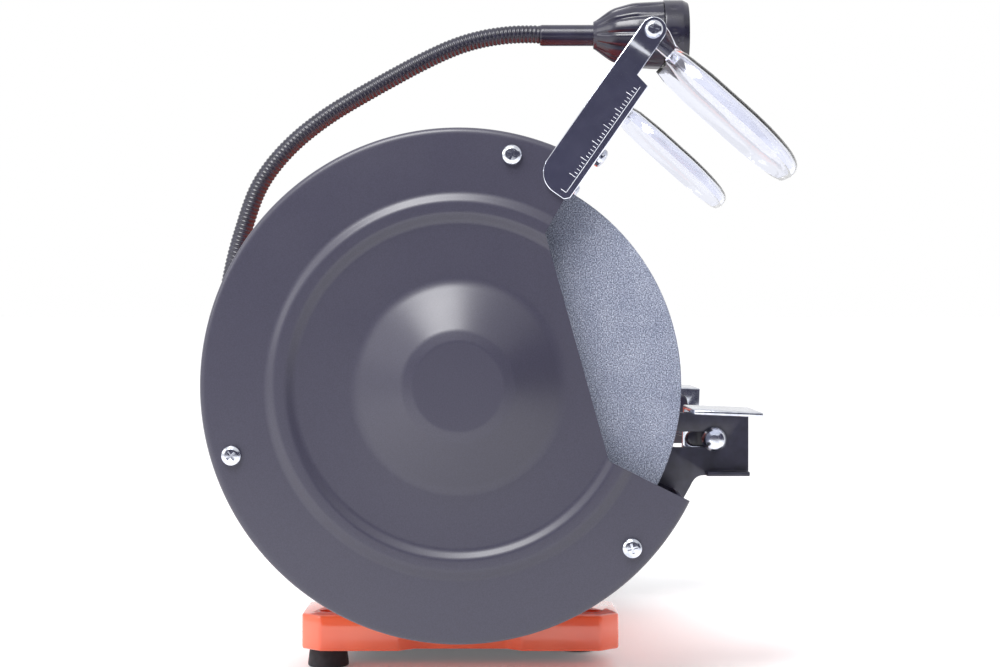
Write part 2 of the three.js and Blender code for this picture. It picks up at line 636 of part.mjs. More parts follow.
function restBracket() {
  const x1 = -GUARD_HALF - GAP;
  const x0 = x1 - REST_BRACKET_SHEET;
  const front = -REST_BRACKET_FRONT;
  const bolt = -REST_BOLT_Y;
  const shape = new THREE.Shape();
  shape.moveTo(front, -REST_BRACKET_TOP);
  shape.lineTo(front, -REST_BRACKET_BOTTOM);
  shape.lineTo(bolt + 5, -REST_BRACKET_BOTTOM);
  shape.quadraticCurveTo(bolt + 9, -REST_BRACKET_BOTTOM, bolt + 11, -REST_BRACKET_BOTTOM - 5);
  shape.lineTo(bolt + 20, -REST_BRACKET_BOTTOM - 21);
  shape.lineTo(bolt + 42, -REST_BRACKET_BOTTOM - 21);
  shape.lineTo(bolt + 46, -REST_BRACKET_BOTTOM + 9);
  shape.lineTo(bolt + 30, -REST_BRACKET_TOP);
  const plate = acrossX(shape, x0, x1);
  const flange = box(x1 - 1, x1 + REST_BRACKET_FLANGE, front, bolt + 4,
    -REST_BRACKET_BOTTOM, 2 - REST_BRACKET_BOTTOM);
  const slot = acrossX(slotShape(bolt - 2, bolt + 18, -REST_BOLT_DROP, REST_SLOT_HALF), x0 - 1, x1 + 1);
  return cut(join(plate, flange), slot);
}

function toolRest() {
  const flangeFace = -GUARD_HALF - 2 * GAP - REST_BRACKET_SHEET;
  const back = flangeFace - REST_SHEET;
  const plate = box(back, GUARD_HALF, -REST_OUTER, REST_INNER, REST_TOP - REST_SHEET, REST_TOP);
  const flange = box(back, flangeFace, -REST_OUTER, REST_INNER, -REST_FLANGE_DROP, REST_TOP);
  const slot = acrossX(slotShape(REST_SLOT_HALF - REST_SLOT_OUTER, REST_SLOT_INNER - REST_SLOT_HALF, 0,
    REST_SLOT_HALF), back - 1, flangeFace + 1);
  return cut(join(plate, flange), slot);
}

function restBolt() {
  const face = -GUARD_HALF;
  const end = face - REST_BRACKET_SHEET - REST_SHEET - 3 * GAP - KNOB_WIDTH - 1;
  return turned([[0, end], [REST_BOLT_SHANK, end], [REST_BOLT_SHANK, face], [REST_BOLT_HEAD, face],
    [REST_BOLT_HEAD - 0.6, face + 1.6], [3.4, face + 2.9], [0, face + 3.4]], SMALL);
}

function restKnob() {
  const x1 = -GUARD_HALF - REST_BRACKET_SHEET - REST_SHEET - 3 * GAP;
  const x0 = x1 - KNOB_WIDTH;
  const shape = new THREE.Shape();
  const steps = 4 * KNOB_LOBES;
  for (let i = 0; i < steps; i += 1) {
    const angle = i * 2 * Math.PI / steps;
    const radius = KNOB_RADIUS - 1.3 + 1.3 * Math.cos(KNOB_LOBES * angle);
    const move = i === 0 ? 'moveTo' : 'lineTo';
    shape[move](radius * Math.cos(angle), radius * Math.sin(angle));
  }
  return cut(acrossX(shape, x0, x1), rod(REST_BOLT_SHANK + GAP, x0 - 1, x1 + 1));
}

// ---------------------------------------------------------------- shield arm and eye shield

// Drawn on the arm's own axes: Y across the broad face, Z along it.
function shieldArm() {
  const face = GUARD_HALF + GAP;
  const out = face + ARM_SHEET;
  const joggleEnd = ARM_LENGTH + ARM_JOGGLE_LENGTH;
  const tip = PIVOT_ALONG + TONGUE_RADIUS + 1;
  const inner = face - ARM_JOGGLE_STEP;
  const sheet = acrossY(outline([[-1, face], [ARM_LENGTH, face], [joggleEnd, inner], [tip, inner],
    [tip, inner + ARM_SHEET], [joggleEnd, inner + ARM_SHEET], [ARM_LENGTH, out], [-1, out]]),
  -1, ARM_WIDTH + 1);
  const plan = new THREE.Shape();
  const middle = ARM_WIDTH - TONGUE_RADIUS;
  plan.moveTo(2, 0);
  plan.lineTo(ARM_WIDTH - ARM_CORNER, 0);
  plan.absarc(ARM_WIDTH - ARM_CORNER, ARM_CORNER, ARM_CORNER, -Math.PI / 2, 0, false);
  plan.lineTo(ARM_WIDTH, PIVOT_ALONG);
  plan.absarc(middle, PIVOT_ALONG, TONGUE_RADIUS, 0, Math.PI, false);
  plan.lineTo(middle - TONGUE_RADIUS, ARM_LENGTH);
  plan.lineTo(0, ARM_LENGTH - 1.5);
  plan.lineTo(0, 2);
  const broadFace = common(sheet, acrossX(plan, face - 10, out + 10));
  const flange = box(-ARM_FLANGE_INNER, out - ARM_SHEET / 2, 0, ARM_SHEET, ARM_FLANGE_START, ARM_FLANGE_END);
  const slot = acrossY(slotShape(ARM_SLOT_START + ARM_SLOT_HALF, ARM_SLOT_END - ARM_SLOT_HALF, 0,
    ARM_SLOT_HALF), -1, ARM_SHEET + 1);
  const hole = rod(SCREW_SHANK + GAP, 0, 40).translate(0, middle, PIVOT_ALONG);
  return cut(join(broadFace, flange), slot, hole);
}

// Drawn about its pivot: Y away from the window, Z out of it.
function eyeShield() {
  const start = -SHIELD_START;
  const end = -SHIELD_END;
  const top = SHIELD_RISE;
  const bottom = top - SHIELD_DEPTH;
  const half = SHIELD_HALF_WIDTH;
  const side = new THREE.Shape();
  side.moveTo(start, top);
  side.lineTo(end + 14, top);
  side.quadraticCurveTo(end, top, end, bottom);
  side.lineTo(start, bottom);
  const wall = SHIELD_WALL;
  const inside = new THREE.Shape();
  inside.moveTo(start + 1, top - wall);
  inside.lineTo(end + 14, top - wall);
  inside.quadraticCurveTo(end + wall, top - wall, end + wall, bottom - 1);
  inside.lineTo(start + 1, bottom - 1);
  const plan = (inset) => {
    const shape = new THREE.Shape();
    const x = half - inset;
    const y = end + inset;
    const r = SHIELD_CORNER - inset;
    const root = SHIELD_ROOT_HALF - inset;
    shape.moveTo(root, 10);
    shape.lineTo(-root, 10);
    shape.lineTo(-root, start);
    shape.lineTo(-x, start - SHIELD_TAPER);
    shape.lineTo(-x, y + r);
    shape.absarc(r - x, y + r, r, Math.PI, Math.PI * 1.5, false);
    shape.lineTo(x - r, y);
    shape.absarc(x - r, y + r, r, -Math.PI / 2, 0, false);
    shape.lineTo(x, start - SHIELD_TAPER);
    shape.lineTo(root, start);
    return extruded(shape, 40).translate(0, 0, -20);
  };
  const outer = common(acrossX(side, -half, half), plan(0));
  const hollow = common(acrossX(inside, wall - half, half - wall), plan(wall));
  const earFace = GUARD_HALF - ARM_JOGGLE_STEP;
  const ear = new THREE.Shape();
  ear.moveTo(start - 4, top - 0.2);
  ear.lineTo(start - 4, -TONGUE_RADIUS + 0.5);
  ear.lineTo(0, -TONGUE_RADIUS);
  ear.absarc(0, 0, TONGUE_RADIUS, -Math.PI / 2, Math.PI / 2 - 0.9, false);
  ear.lineTo(0, TONGUE_RADIUS - 0.4);
  ear.lineTo(start - 2, top - 0.2);
  const lug = acrossX(ear, earFace - SHIELD_EAR, earFace);
  const hole = rod(SCREW_SHANK + GAP, 0, 40);
  return cut(join(cut(outer, hollow), lug), hole);
}

// ---------------------------------------------------------------- one wheel end

function addWheelEnd(group, side) {
  const hand = side < 0 ? 'left' : 'right';
  const unit = new THREE.Group();
  unit.position.set(side * WHEEL_OFFSET, 0, SHAFT_HEIGHT);
  group.add(unit);
  const place = (name, geometry, material, at, tilt) =>
    add(unit, `${name}_${hand}`, handed(geometry, side), material, at, tilt);

  place('wheel', wheel(), abrasive());
  place('wheel_flange_outer', wheelFlange(), steel());
  place('wheel_flange_inner', wheelFlange().rotateZ(Math.PI), steel());
  place('shaft_nut', shaftNut(), steel());
  place('guard_body', guardBody(), powderCoat());
  place('guard_cover', guardCover(), powderCoat());
  COVER_SCREW_ANGLES.forEach((angle, i) => {
    const [y, z] = frontPoint(COVER_SCREW_RADIUS, angle);
    const screw = panScrew(SCREW_SHANK, SCREW_HEAD, SCREW_HEAD_HEIGHT, 8);
    add(unit, `cover_screw_${i + 1}_${hand}`, handed(screw, side), zinc(), [side * GUARD_HALF, y, z]);
  });
  place('rest_bracket', restBracket(), blackSteel());
  const bolt = [0, -REST_BOLT_Y, -REST_BOLT_DROP];
  place('tool_rest', toolRest(), zinc(), bolt, REST_TILT);
  place('rest_bolt', restBolt(), zinc(), bolt);
  place('rest_knob', restKnob(), blackPlastic(), bolt);

  const arm = new THREE.Group();
  arm.position.set(0, ...frontPoint(ARM_FOOT_RADIUS, ARM_FOOT_ANGLE));
  arm.rotation.x = radians(ARM_TILT);
  unit.add(arm);
  add(arm, `shield_arm_${hand}`, handed(shieldArm(), side), chrome());
  const clampScrew = panScrew(CLAMP_SHANK, 4.4, 3, 9).rotateZ(-Math.PI / 2);
  add(arm, `arm_clamp_screw_${hand}`, handed(clampScrew, side), zinc(), [0, 0, CLAMP_ALONG]);
  const pivotFace = GUARD_HALF + GAP - ARM_JOGGLE_STEP + ARM_SHEET;
  const pivotMiddle = ARM_WIDTH - TONGUE_RADIUS;
  add(arm, `pivot_screw_${hand}`, handed(panScrew(SCREW_SHANK, 4, 2.6, 8), side), zinc(),
    [side * pivotFace, pivotMiddle, PIVOT_ALONG]);
  const shieldTurn = SHIELD_TILT - ARM_TILT;
  add(arm, `eye_shield_${hand}`, handed(eyeShield(), side), clearPlastic(),
    [0, pivotMiddle, PIVOT_ALONG], shieldTurn);
}

// ---------------------------------------------------------------- gooseneck lamp

function neckCurve(points) {
  return new THREE.CatmullRomCurve3(points.map(([y, z]) => new THREE.Vector3(0, y, z)));
}

function neckTube(points) {
  const section = new THREE.Shape();
  for (let i = 0; i < NECK_SIDES; i += 1) {
    const angle = i * 2 * Math.PI / NECK_SIDES;
    const move = i === 0 ? 'moveTo' : 'lineTo';
    section[move](NECK_RADIUS * Math.cos(angle), NECK_RADIUS * Math.sin(angle));
  }
  return new THREE.ExtrudeGeometry(section,
    { steps: Math.round(1.4 * points.length), extrudePath: neckCurve(points), bevelEnabled: false });
}

function ball(radius, [y, z]) {
  return new THREE.SphereGeometry(radius, MEDIUM, 8).translate(0, y, z);
}

// Each length of the neck starts hollow, round the ball that ends the length before it.
function neckLength(points, endsInBall) {
  const end = points[points.length - 1];
  const tube = endsInBall ? join(neckTube(points), ball(NECK_RADIUS, end)) : neckTube(points);
  return cut(tube, ball(NECK_RADIUS + 2 * GAP, points[0]));
}

function lampSocket() {
  const start = -31; // inside the housing, which the socket is trimmed to fit
  const profile = [[0, start], [SOCKET_RADIUS, start], [SOCKET_RADIUS, -3], [NECK_RADIUS, -0.5], [0, -0.5]];
  const body = join(turned(profile, MEDIUM).rotateZ(Math.PI / 2), ball(NECK_RADIUS, NECK_LOWER[0]));
  const housing = rod(HOUSING_RADIUS + GAP, -HOUSING_HALF, HOUSING_HALF, ROUND)
    .translate(0, -SOCKET_END, SOCKET_DROP);
  return cut(body, housing);
}

// Lamp pieces are turned about an axis that runs forward; profile points are [radius, distance forward].
function lampTurned(profile, facets = MEDIUM) {
  return turned(profile, facets).rotateZ(-Math.PI / 2);
}

function lampHead() {
  const inner = LAMP_RADIUS - LAMP_WALL;
  const tube = LAMP_TUBE_LENGTH;
  const end = LAMP_BEZEL_START;
  return lampTurned([[0, 0], [5.1, 0], [5.45, 1], [5.45, tube], [7, tube], [7.6, tube + 1.5],
    [LAMP_RADIUS - 4.3, tube + 10.5], [LAMP_RADIUS - 1.4, tube + 24], [LAMP_RADIUS, end], [inner, end],
    [inner - 1.4, tube + 24], [inner - 4.3, tube + 11.5], [0, tube + 8]]);
}

function lampBezel() {
  const r = LAMP_RADIUS + 0.4;
  const start = LAMP_BEZEL_START + GAP;
  const end = LAMP_LENGTH;
  return lampTurned([[r - 3, start], [r, start], [r, end - 3], [r - 1.4, end], [r - 3.6, end],
    [r - 3.6, end - 2], [r - 3, end - 2]]);
}

function lampLens() {
  const front = LAMP_LENGTH - 2 - GAP;
  const r = LAMP_RADIUS - 2.6 - GAP;
  return lampTurned([[0, front - 2], [r, front - 2], [r, front], [0, front]]);
}

function lampBulb() {
  const start = LAMP_TUBE_LENGTH + 9;
  const front = LAMP_LENGTH - 12;
  return lampTurned([[0, start], [4, start + 0.5], [4, start + 9], [9, front - 3], [9, front],
    [3, front + 1.5], [0, front + 1.5]], SMALL);
}

function addLamp(group) {
  const lamp = new THREE.Group();
  lamp.position.set(0, SOCKET_END, SHAFT_HEIGHT - SOCKET_DROP);
  group.add(lamp);
  add(lamp, 'lamp_socket', lampSocket(), blackPlastic());
  add(lamp, 'gooseneck_lower', neckLength(NECK_LOWER, true), blackPlastic());
  add(lamp, 'gooseneck_middle', neckLength(NECK_MIDDLE, true), blackPlastic());
  add(lamp, 'gooseneck_upper', neckLength(NECK_UPPER, false), blackPlastic());
  const head = [0, -LAMP_REACH, LAMP_RISE];
  add(lamp, 'lamp_head', lampHead(), blackPlastic(), head);
  add(lamp, 'lamp_bezel', lampBezel(), blackPlastic(), head);
  add(lamp, 'lamp_lens', lampLens(), clearPlastic(), head);
  add(lamp, 'lamp_bulb', lampBulb(), reflector(), head);
}

// ---------------------------------------------------------------- assembly

const group = new THREE.Group();
addBase(group);
addMotor(group);
addWheelEnd(group, -1);
addWheelEnd(group, 1);
addLamp(group);

export default group;
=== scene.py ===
import json
import math

import bpy
from mathutils import Matrix, Vector


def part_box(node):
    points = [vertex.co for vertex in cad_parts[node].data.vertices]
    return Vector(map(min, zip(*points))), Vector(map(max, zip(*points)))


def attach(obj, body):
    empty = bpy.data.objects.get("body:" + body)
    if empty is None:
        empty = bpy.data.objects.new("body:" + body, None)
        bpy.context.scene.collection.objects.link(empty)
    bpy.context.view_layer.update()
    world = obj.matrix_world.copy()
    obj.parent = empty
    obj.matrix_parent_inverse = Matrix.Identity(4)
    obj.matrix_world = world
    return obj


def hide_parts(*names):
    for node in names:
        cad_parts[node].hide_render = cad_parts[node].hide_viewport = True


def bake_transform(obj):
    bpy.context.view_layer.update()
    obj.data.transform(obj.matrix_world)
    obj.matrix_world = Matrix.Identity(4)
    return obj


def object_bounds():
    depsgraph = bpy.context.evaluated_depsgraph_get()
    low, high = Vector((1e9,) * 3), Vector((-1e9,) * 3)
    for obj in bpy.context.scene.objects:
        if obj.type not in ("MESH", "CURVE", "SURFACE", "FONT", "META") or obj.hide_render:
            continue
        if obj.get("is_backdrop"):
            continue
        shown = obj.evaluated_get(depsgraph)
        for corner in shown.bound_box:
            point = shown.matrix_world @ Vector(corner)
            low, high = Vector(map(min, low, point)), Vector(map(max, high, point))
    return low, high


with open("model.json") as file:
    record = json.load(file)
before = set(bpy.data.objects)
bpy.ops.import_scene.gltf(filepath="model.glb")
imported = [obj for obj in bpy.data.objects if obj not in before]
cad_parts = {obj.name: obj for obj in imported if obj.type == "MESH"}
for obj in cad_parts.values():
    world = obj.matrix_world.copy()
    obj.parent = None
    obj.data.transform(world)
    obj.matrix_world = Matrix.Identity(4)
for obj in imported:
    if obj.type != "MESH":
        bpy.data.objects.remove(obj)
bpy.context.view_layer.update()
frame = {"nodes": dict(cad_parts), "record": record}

bl_info = {
    "name": "Bench grinder",
    "version": (1, 0, 0),
    "blender": (4, 5, 0),
    "location": "View3D > Sidebar > Grinder",
    "description": "Builds the detailed pieces of a bench grinder around its CAD frame",
    "category": "Add Mesh",
}

MM = 0.001
RECORD = frame["record"]
BODY_OF = {node: body for body, nodes in RECORD["behaviour"]["bodies"].items() for node in nodes}
HANDS = ("left", "right")


def middle(node):
    low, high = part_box(node)
    return (low + high) / 2


WHEEL_X = middle("wheel_right").x / MM
SHAFT_Z = middle("wheel_right").z / MM
WHEEL_UNIT = Matrix.Translation((WHEEL_X * MM, 0, SHAFT_Z * MM))

# Millimetres from the wheel's middle on the shaft, as the frame has them.
GUARD_HALF = 25.5
GUARD_WALL = 112.4
GUARD_RADIUS = 114.7
GUARD_SHEET = 2.0
COVER_LIP = 7.0
MOUTH = ((77.8, 60.5), (230.0, 60.5), (230.0, -26.5), (74.4, -26.5))
COVER_SCREWS = ((105.0, 77.0), (105.0, 197.0), (105.0, 317.0))
ARM_TILT = 35.0
ARM_CORNER = (94.5, 59.4)
ARM_FACE = 27.3
CLAMP_ALONG = 26.6
PIVOT = (12.5, 85.0)
SHIELD_TILT = 41.8
SHIELD_OPEN = -12.7
HOUSING_RADIUS = 75.0
HOUSING_HALF = 64.9
BELL_START = 65.2
BELL_FACE = 123.2


# ---- modelling

def only(obj):
    """Selects this object alone and makes it the active one."""
    bpy.ops.object.select_all(action="DESELECT")
    obj.select_set(True)
    bpy.context.view_layer.objects.active = obj


def editing(obj, select="SELECT"):
    only(obj)
    bpy.ops.object.mode_set(mode="EDIT")
    bpy.ops.mesh.select_mode(type="VERT")
    bpy.ops.mesh.select_all(action=select)


def done():
    bpy.ops.object.mode_set(mode="OBJECT")


def outwards():
    """Turns every face of the mesh being edited outwards."""
    bpy.ops.mesh.select_all(action="SELECT")
    bpy.ops.mesh.normals_make_consistent(inside=False)


def closed(obj):
    """Merges doubles, drops loose edges and turns every face outwards."""
    editing(obj)
    bpy.ops.mesh.remove_doubles(threshold=0.01 * MM)
    bpy.ops.mesh.delete_loose()
    outwards()
    done()
    return obj


def drawn(name, points):
    """A closed line through points in millimetres, begun as a circle."""
    bpy.ops.object.select_all(action="DESELECT")
    bpy.ops.mesh.primitive_circle_add(vertices=len(points), radius=0.1, location=(0, 0, 0))
    obj = bpy.context.active_object
    obj.name = name
    for vertex, point in zip(obj.data.vertices, points):
        vertex.co = Vector(point) * MM
    return obj


AXES = {
    "X": (Vector((1, 0, 0)), Vector((0, 0, 1))),
    "Y": (Vector((0, -1, 0)), Vector((0, 0, 1))),
    "Z": (Vector((0, 0, 1)), Vector((1, 0, 0))),
}


def turned(name, profile, axis="X", steps=96, centre=(0, 0, 0)):
    """A closed profile of (radius, along) points, spun about an axis. Y runs forward."""
    along, across = AXES[axis]
    centre = Vector(centre)
    obj = drawn(name, [centre + along * a + across * r for r, a in profile])
    editing(obj)
    bpy.ops.mesh.spin(steps=steps, angle=2 * math.pi, center=centre * MM, axis=along)
    done()
    return closed(obj)


def pulled(name, points, pull):
    """An outline filled and extruded."""
    obj = drawn(name, points)
    editing(obj)
    bpy.ops.mesh.edge_face_add()
    bpy.ops.mesh.extrude_region_move(TRANSFORM_OT_translate={"value": Vector(pull) * MM})
    done()
    return closed(obj)


def block(name, low, high):
    """A box between two corners."""
    bpy.ops.object.select_all(action="DESELECT")
    low, high = Vector(low) * MM, Vector(high) * MM
    bpy.ops.mesh.primitive_cube_add(size=1, location=(low + high) / 2)
    obj = bpy.context.active_object
    obj.name = name
    obj.scale = high - low
    bpy.ops.object.transform_apply(location=True, rotation=True, scale=True)
    return obj


def modify(obj, kind, **settings):
    only(obj)
    bpy.ops.object.modifier_add(type=kind)
    modifier = obj.modifiers[-1]
    for key, value in settings.items():
        setattr(modifier, key, value)
    bpy.ops.object.modifier_apply(modifier=modifier.name)
    return obj


def eased(obj, width, segments=2, angle=30):
    """Breaks every edge sharper than the angle."""
    return modify(obj, "BEVEL", width=width * MM, segments=segments, limit_method="ANGLE",
                  angle_limit=math.radians(angle), use_clamp_overlap=False)


def combined(obj, other, operation="DIFFERENCE"):
    modify(obj, "BOOLEAN", operation=operation, solver="EXACT", object=other)
    bpy.data.objects.remove(other)
    return obj


def bored(obj, radius, depth, place, rotation=(0, 0, 0), vertices=40):
    """Takes a cylinder of a radius in millimetres away from the object, at a place in metres."""
    bpy.ops.mesh.primitive_cylinder_add(vertices=vertices, radius=radius * MM, depth=depth,
                                        location=place, rotation=rotation)
    return combined(obj, bpy.context.active_object)


def joined(obj, *others):
    """Others become loose parts of the first mesh."""
    only(obj)
    for other in others:
        other.select_set(True)
    bpy.ops.object.join()
    return obj


def placed(obj, matrix):
    """Moves the object and bakes its place into its mesh."""
    only(obj)
    obj.matrix_world = matrix
    bpy.ops.object.transform_apply(location=True, rotation=True, scale=True)
    return obj


def mirrored(obj, name):
    """The left-hand copy of a right-hand piece."""
    copy = obj.copy()
    copy.data = obj.data.copy()
    copy.name = name
    bpy.context.scene.collection.objects.link(copy)
    placed(copy, Matrix.Scale(-1, 4, (1, 0, 0)))
    editing(copy)
    outwards()
    done()
    return copy


def smooth(obj, degrees=35):
    only(obj)
    bpy.ops.object.shade_smooth_by_angle(angle=math.radians(degrees))
    return obj


def refined(name, node, width, segments=2):
    """A CAD node's shape with its triangles joined and its edges broken."""
    obj = bpy.data.objects.new(name, frame["nodes"][node].data.copy())
    bpy.context.scene.collection.objects.link(obj)
    obj.data.materials.clear()
    editing(obj)
    bpy.ops.mesh.remove_doubles(threshold=0.001 * MM)
    bpy.ops.mesh.dissolve_limited(angle_limit=math.radians(0.5))
    done()
    return eased(obj, width, segments)


def fillet(points, radii, steps=5):
    """A line of 2-D points with its corners rounded, one radius to a point, 0 for sharp."""
    result = []
    count = len(points)
    for i, (point, radius) in enumerate(zip(points, radii)):
        here = Vector(point)
        if not radius:
            result.append(here)
            continue
        before = Vector(points[i - 1]) - here
        after = Vector(points[(i + 1) % count]) - here
        turn = before.angle(after)
        reach = min(radius / math.tan(turn / 2), 0.49 * before.length, 0.49 * after.length)
        first, last = here + before.normalized() * reach, here + after.normalized() * reach
        for k in range(steps + 1):
            t = k / steps
            result.append(first * (1 - t) ** 2 + here * 2 * t * (1 - t) + last * t ** 2)
    return [tuple(p) for p in result]


def front_point(radius, degrees):
    """A place in front of the shaft, at an angle above the horizontal: (y, z)."""
    angle = math.radians(degrees)
    return (-radius * math.cos(angle), radius * math.sin(angle))


# ---- materials

def linear(colour):
    """An sRGB hex colour as the linear values that the shaders take."""
    parts = [int(colour[i:i + 2], 16) / 255 for i in (0, 2, 4)]
    return tuple(p / 12.92 if p <= 0.04045 else ((p + 0.055) / 1.055) ** 2.4 for p in parts) + (1.0,)


def add_node(tree, kind, inputs=None, stops=(), **settings):
    """Adds a node, its ramp's stops and its settings. An input is a value, an output or a node's first output."""
    node = tree.nodes.new("ShaderNode" + kind)
    for key, value in settings.items():
        setattr(node, key, value)
    if stops:
        elements = node.color_ramp.elements
        while len(elements) < len(stops):
            elements.new(0.5)
        for element, (position, colour) in zip(elements, stops):
            element.position = position
            element.color = linear(colour)
    for socket, value in (inputs or {}).items():
        source = value.outputs[0] if isinstance(value, bpy.types.Node) else value
        if isinstance(source, bpy.types.NodeSocket):
            tree.links.new(source, node.inputs[socket])
        else:
            node.inputs[socket].default_value = source
    return node


def hexed(colour):
    """A colour property as a hex string."""
    return "".join(f"{round(255 * c):02x}" for c in colour)


_made = {}


def finish(name):
    """Wraps a function that gives the shader's inputs; each material is made once, when first asked for."""
    def wrapped(function):
        def once():
            if name not in _made:
                material = _made[name] = bpy.data.materials.new(name)
                material.use_nodes = True
                tree = material.node_tree
                tree.nodes.clear()
                place = add_node(tree, "TexCoord").outputs["Object"]
                shader = add_node(tree, "BsdfPrincipled", function(tree, place))
                add_node(tree, "OutputMaterial", {"Surface": shader})
            return _made[name]
        return once
    return wrapped


# A pattern's scale is 1000 over the width of its features in millimetres.

@finish("sprayed_gloss_enamel")
def sprayed_enamel(tree, place):
    # Two-part gloss enamel on a casting: a deep even colour under a wet clear surface with orange peel.
    colours = bpy.context.scene.grinder_colours
    wide = add_node(tree, "TexNoise", {"Vector": place, "Scale": 1000 / 34, "Detail": 2})
    colour = add_node(tree, "ValToRGB", {"Fac": wide}, [(0.3, hexed(colours.enamel_deep)),
                                                        (0.7, hexed(colours.enamel))])
    drops = add_node(tree, "TexNoise", {"Vector": place, "Scale": 1000 / 2.6, "Detail": 1})
    peel = add_node(tree, "Bump", {"Height": drops, "Distance": 0.05 * MM, "Strength": 0.35})
    return {"Base Color": colour, "Roughness": 0.32, "Coat Weight": 1.0, "Coat Roughness": 0.05,
            "Normal": peel, "Coat Normal": peel}


@finish("satin_powder_coat")
def powder_coat(tree, place):
    # Polyester powder baked on sheet steel: a satin skin with fine orange peel and faint speckle.
    colours = bpy.context.scene.grinder_colours
    speck = add_node(tree, "TexNoise", {"Vector": place, "Scale": 1000 / 0.55, "Detail": 2})
    colour = add_node(tree, "ValToRGB", {"Fac": speck}, [(0.25, hexed(colours.guard_dark)),
                                                         (0.75, hexed(colours.guard_light))])
    wide = add_node(tree, "TexNoise", {"Vector": place, "Scale": 1000 / 24, "Detail": 3})
    rough = add_node(tree, "MapRange", {"Value": wide, "To Min": 0.34, "To Max": 0.44})
    drops = add_node(tree, "TexNoise", {"Vector": place, "Scale": 1000 / 0.9, "Detail": 2})
    peel = add_node(tree, "Bump", {"Height": drops, "Distance": 0.03 * MM, "Strength": 0.5})
    return {"Base Color": colour, "Roughness": rough, "Coat Weight": 0.15, "Coat Roughness": 0.25,
            "Normal": peel}


@finish("black_stoved_paint")
def black_paint(tree, place):
    # Stove-dried black paint on bent steel: soft highlights on the bends and a few dull patches.
    cloud = add_node(tree, "TexNoise", {"Vector": place, "Scale": 1000 / 5, "Detail": 3})
    colour = add_node(tree, "ValToRGB", {"Fac": cloud}, [(0.3, "272635"), (0.75, "373648")])
    patch = add_node(tree, "TexNoise", {"Vector": place, "Scale": 1000 / 9, "Detail": 3})
    rough = add_node(tree, "MapRange", {"Value": patch, "To Min": 0.38, "To Max": 0.55})
    grain = add_node(tree, "TexNoise", {"Vector": place, "Scale": 1000 / 0.8, "Detail": 2})
    relief = add_node(tree, "Bump", {"Height": grain, "Distance": 0.02 * MM, "Strength": 0.5})
    return {"Base Color": colour, "Roughness": rough, "Coat Weight": 0.2, "Coat Roughness": 0.3,
            "Normal": relief}


@finish("bright_zinc_plate")
def zinc_plate(tree, place):
    # Bright zinc over rolled steel: a cool metal with faint cloudy grain.
    cloud = add_node(tree, "TexNoise", {"Vector": place, "Scale": 1000 / 3.5, "Detail": 4})
    colour = add_node(tree, "ValToRGB", {"Fac": cloud}, [(0.3, "b4b8c4"), (0.7, "dde0e8")])
    patch = add_node(tree, "TexNoise", {"Vector": place, "Scale": 1000 / 1.4, "Detail": 3})
    rough = add_node(tree, "MapRange", {"Value": patch, "To Min": 0.12, "To Max": 0.24})
    grain = add_node(tree, "TexNoise", {"Vector": place, "Scale": 1000 / 0.7, "Detail": 2})
    relief = add_node(tree, "Bump", {"Height": grain, "Distance": 0.006 * MM, "Strength": 0.3})
    return {"Base Color": colour, "Metallic": 1.0, "Roughness": rough, "Normal": relief}


@finish("bright_chromium_plate")
def bright_chrome(tree, place):
    # Chromium plate on polished steel: a mirror, dark or white with what it faces, with faint smears.
    smear = add_node(tree, "TexNoise", {"Vector": place, "Scale": 1000 / 7, "Detail": 4, "Roughness": 0.65})
    colour = add_node(tree, "ValToRGB", {"Fac": smear}, [(0.3, "d3d7e4"), (0.7, "e9ecf5")])
    haze = add_node(tree, "TexNoise", {"Vector": place, "Scale": 1000 / 2.4, "Detail": 4})
    rough = add_node(tree, "MapRange", {"Value": haze, "To Min": 0.03, "To Max": 0.13})
    wave = add_node(tree, "TexNoise", {"Vector": place, "Scale": 1000 / 9, "Detail": 1})
    relief = add_node(tree, "Bump", {"Height": wave, "Distance": 0.02 * MM, "Strength": 0.3})
    return {"Base Color": colour, "Metallic": 1.0, "Roughness": rough, "Normal": relief}


@finish("vitrified_aluminium_oxide")
def vitrified_grit(tree, place):
    # 36-grit aluminium oxide in a vitrified bond: pale and dark crystals about 0.6 mm across, all matt.
    tone = add_node(tree, "TexNoise", {"Vector": place, "Scale": 1000 / 0.55, "Detail": 2, "Roughness": 0.6})
    colour = add_node(tree, "ValToRGB", {"Fac": tone}, [(0.32, "444957"), (0.44, "737889"),
                                                        (0.56, "8d93a3"), (0.7, "c6cad8")])
    cloud = add_node(tree, "TexNoise", {"Vector": place, "Scale": 1000 / 14, "Detail": 3})
    dirt = add_node(tree, "ValToRGB", {"Fac": cloud}, [(0.3, "dddfe6"), (0.7, "ffffff")])
    # The mix node's colours are its seventh and eighth inputs and its third output.
    mixed = add_node(tree, "Mix", {"Factor": 0.7, 6: colour, 7: dirt}, data_type="RGBA", blend_type="MULTIPLY")
    grain = add_node(tree, "TexVoronoi", {"Vector": place, "Scale": 1000 / 0.7})
    relief = add_node(tree, "Bump", {"Height": grain, "Distance": 0.2 * MM, "Strength": 0.5})
    return {"Base Color": mixed.outputs[2], "Roughness": 0.92, "Normal": relief}


# A wave texture's bands are a pitch apart at a scale of 1000 over the pitch and TURN.
TURN = 6.28


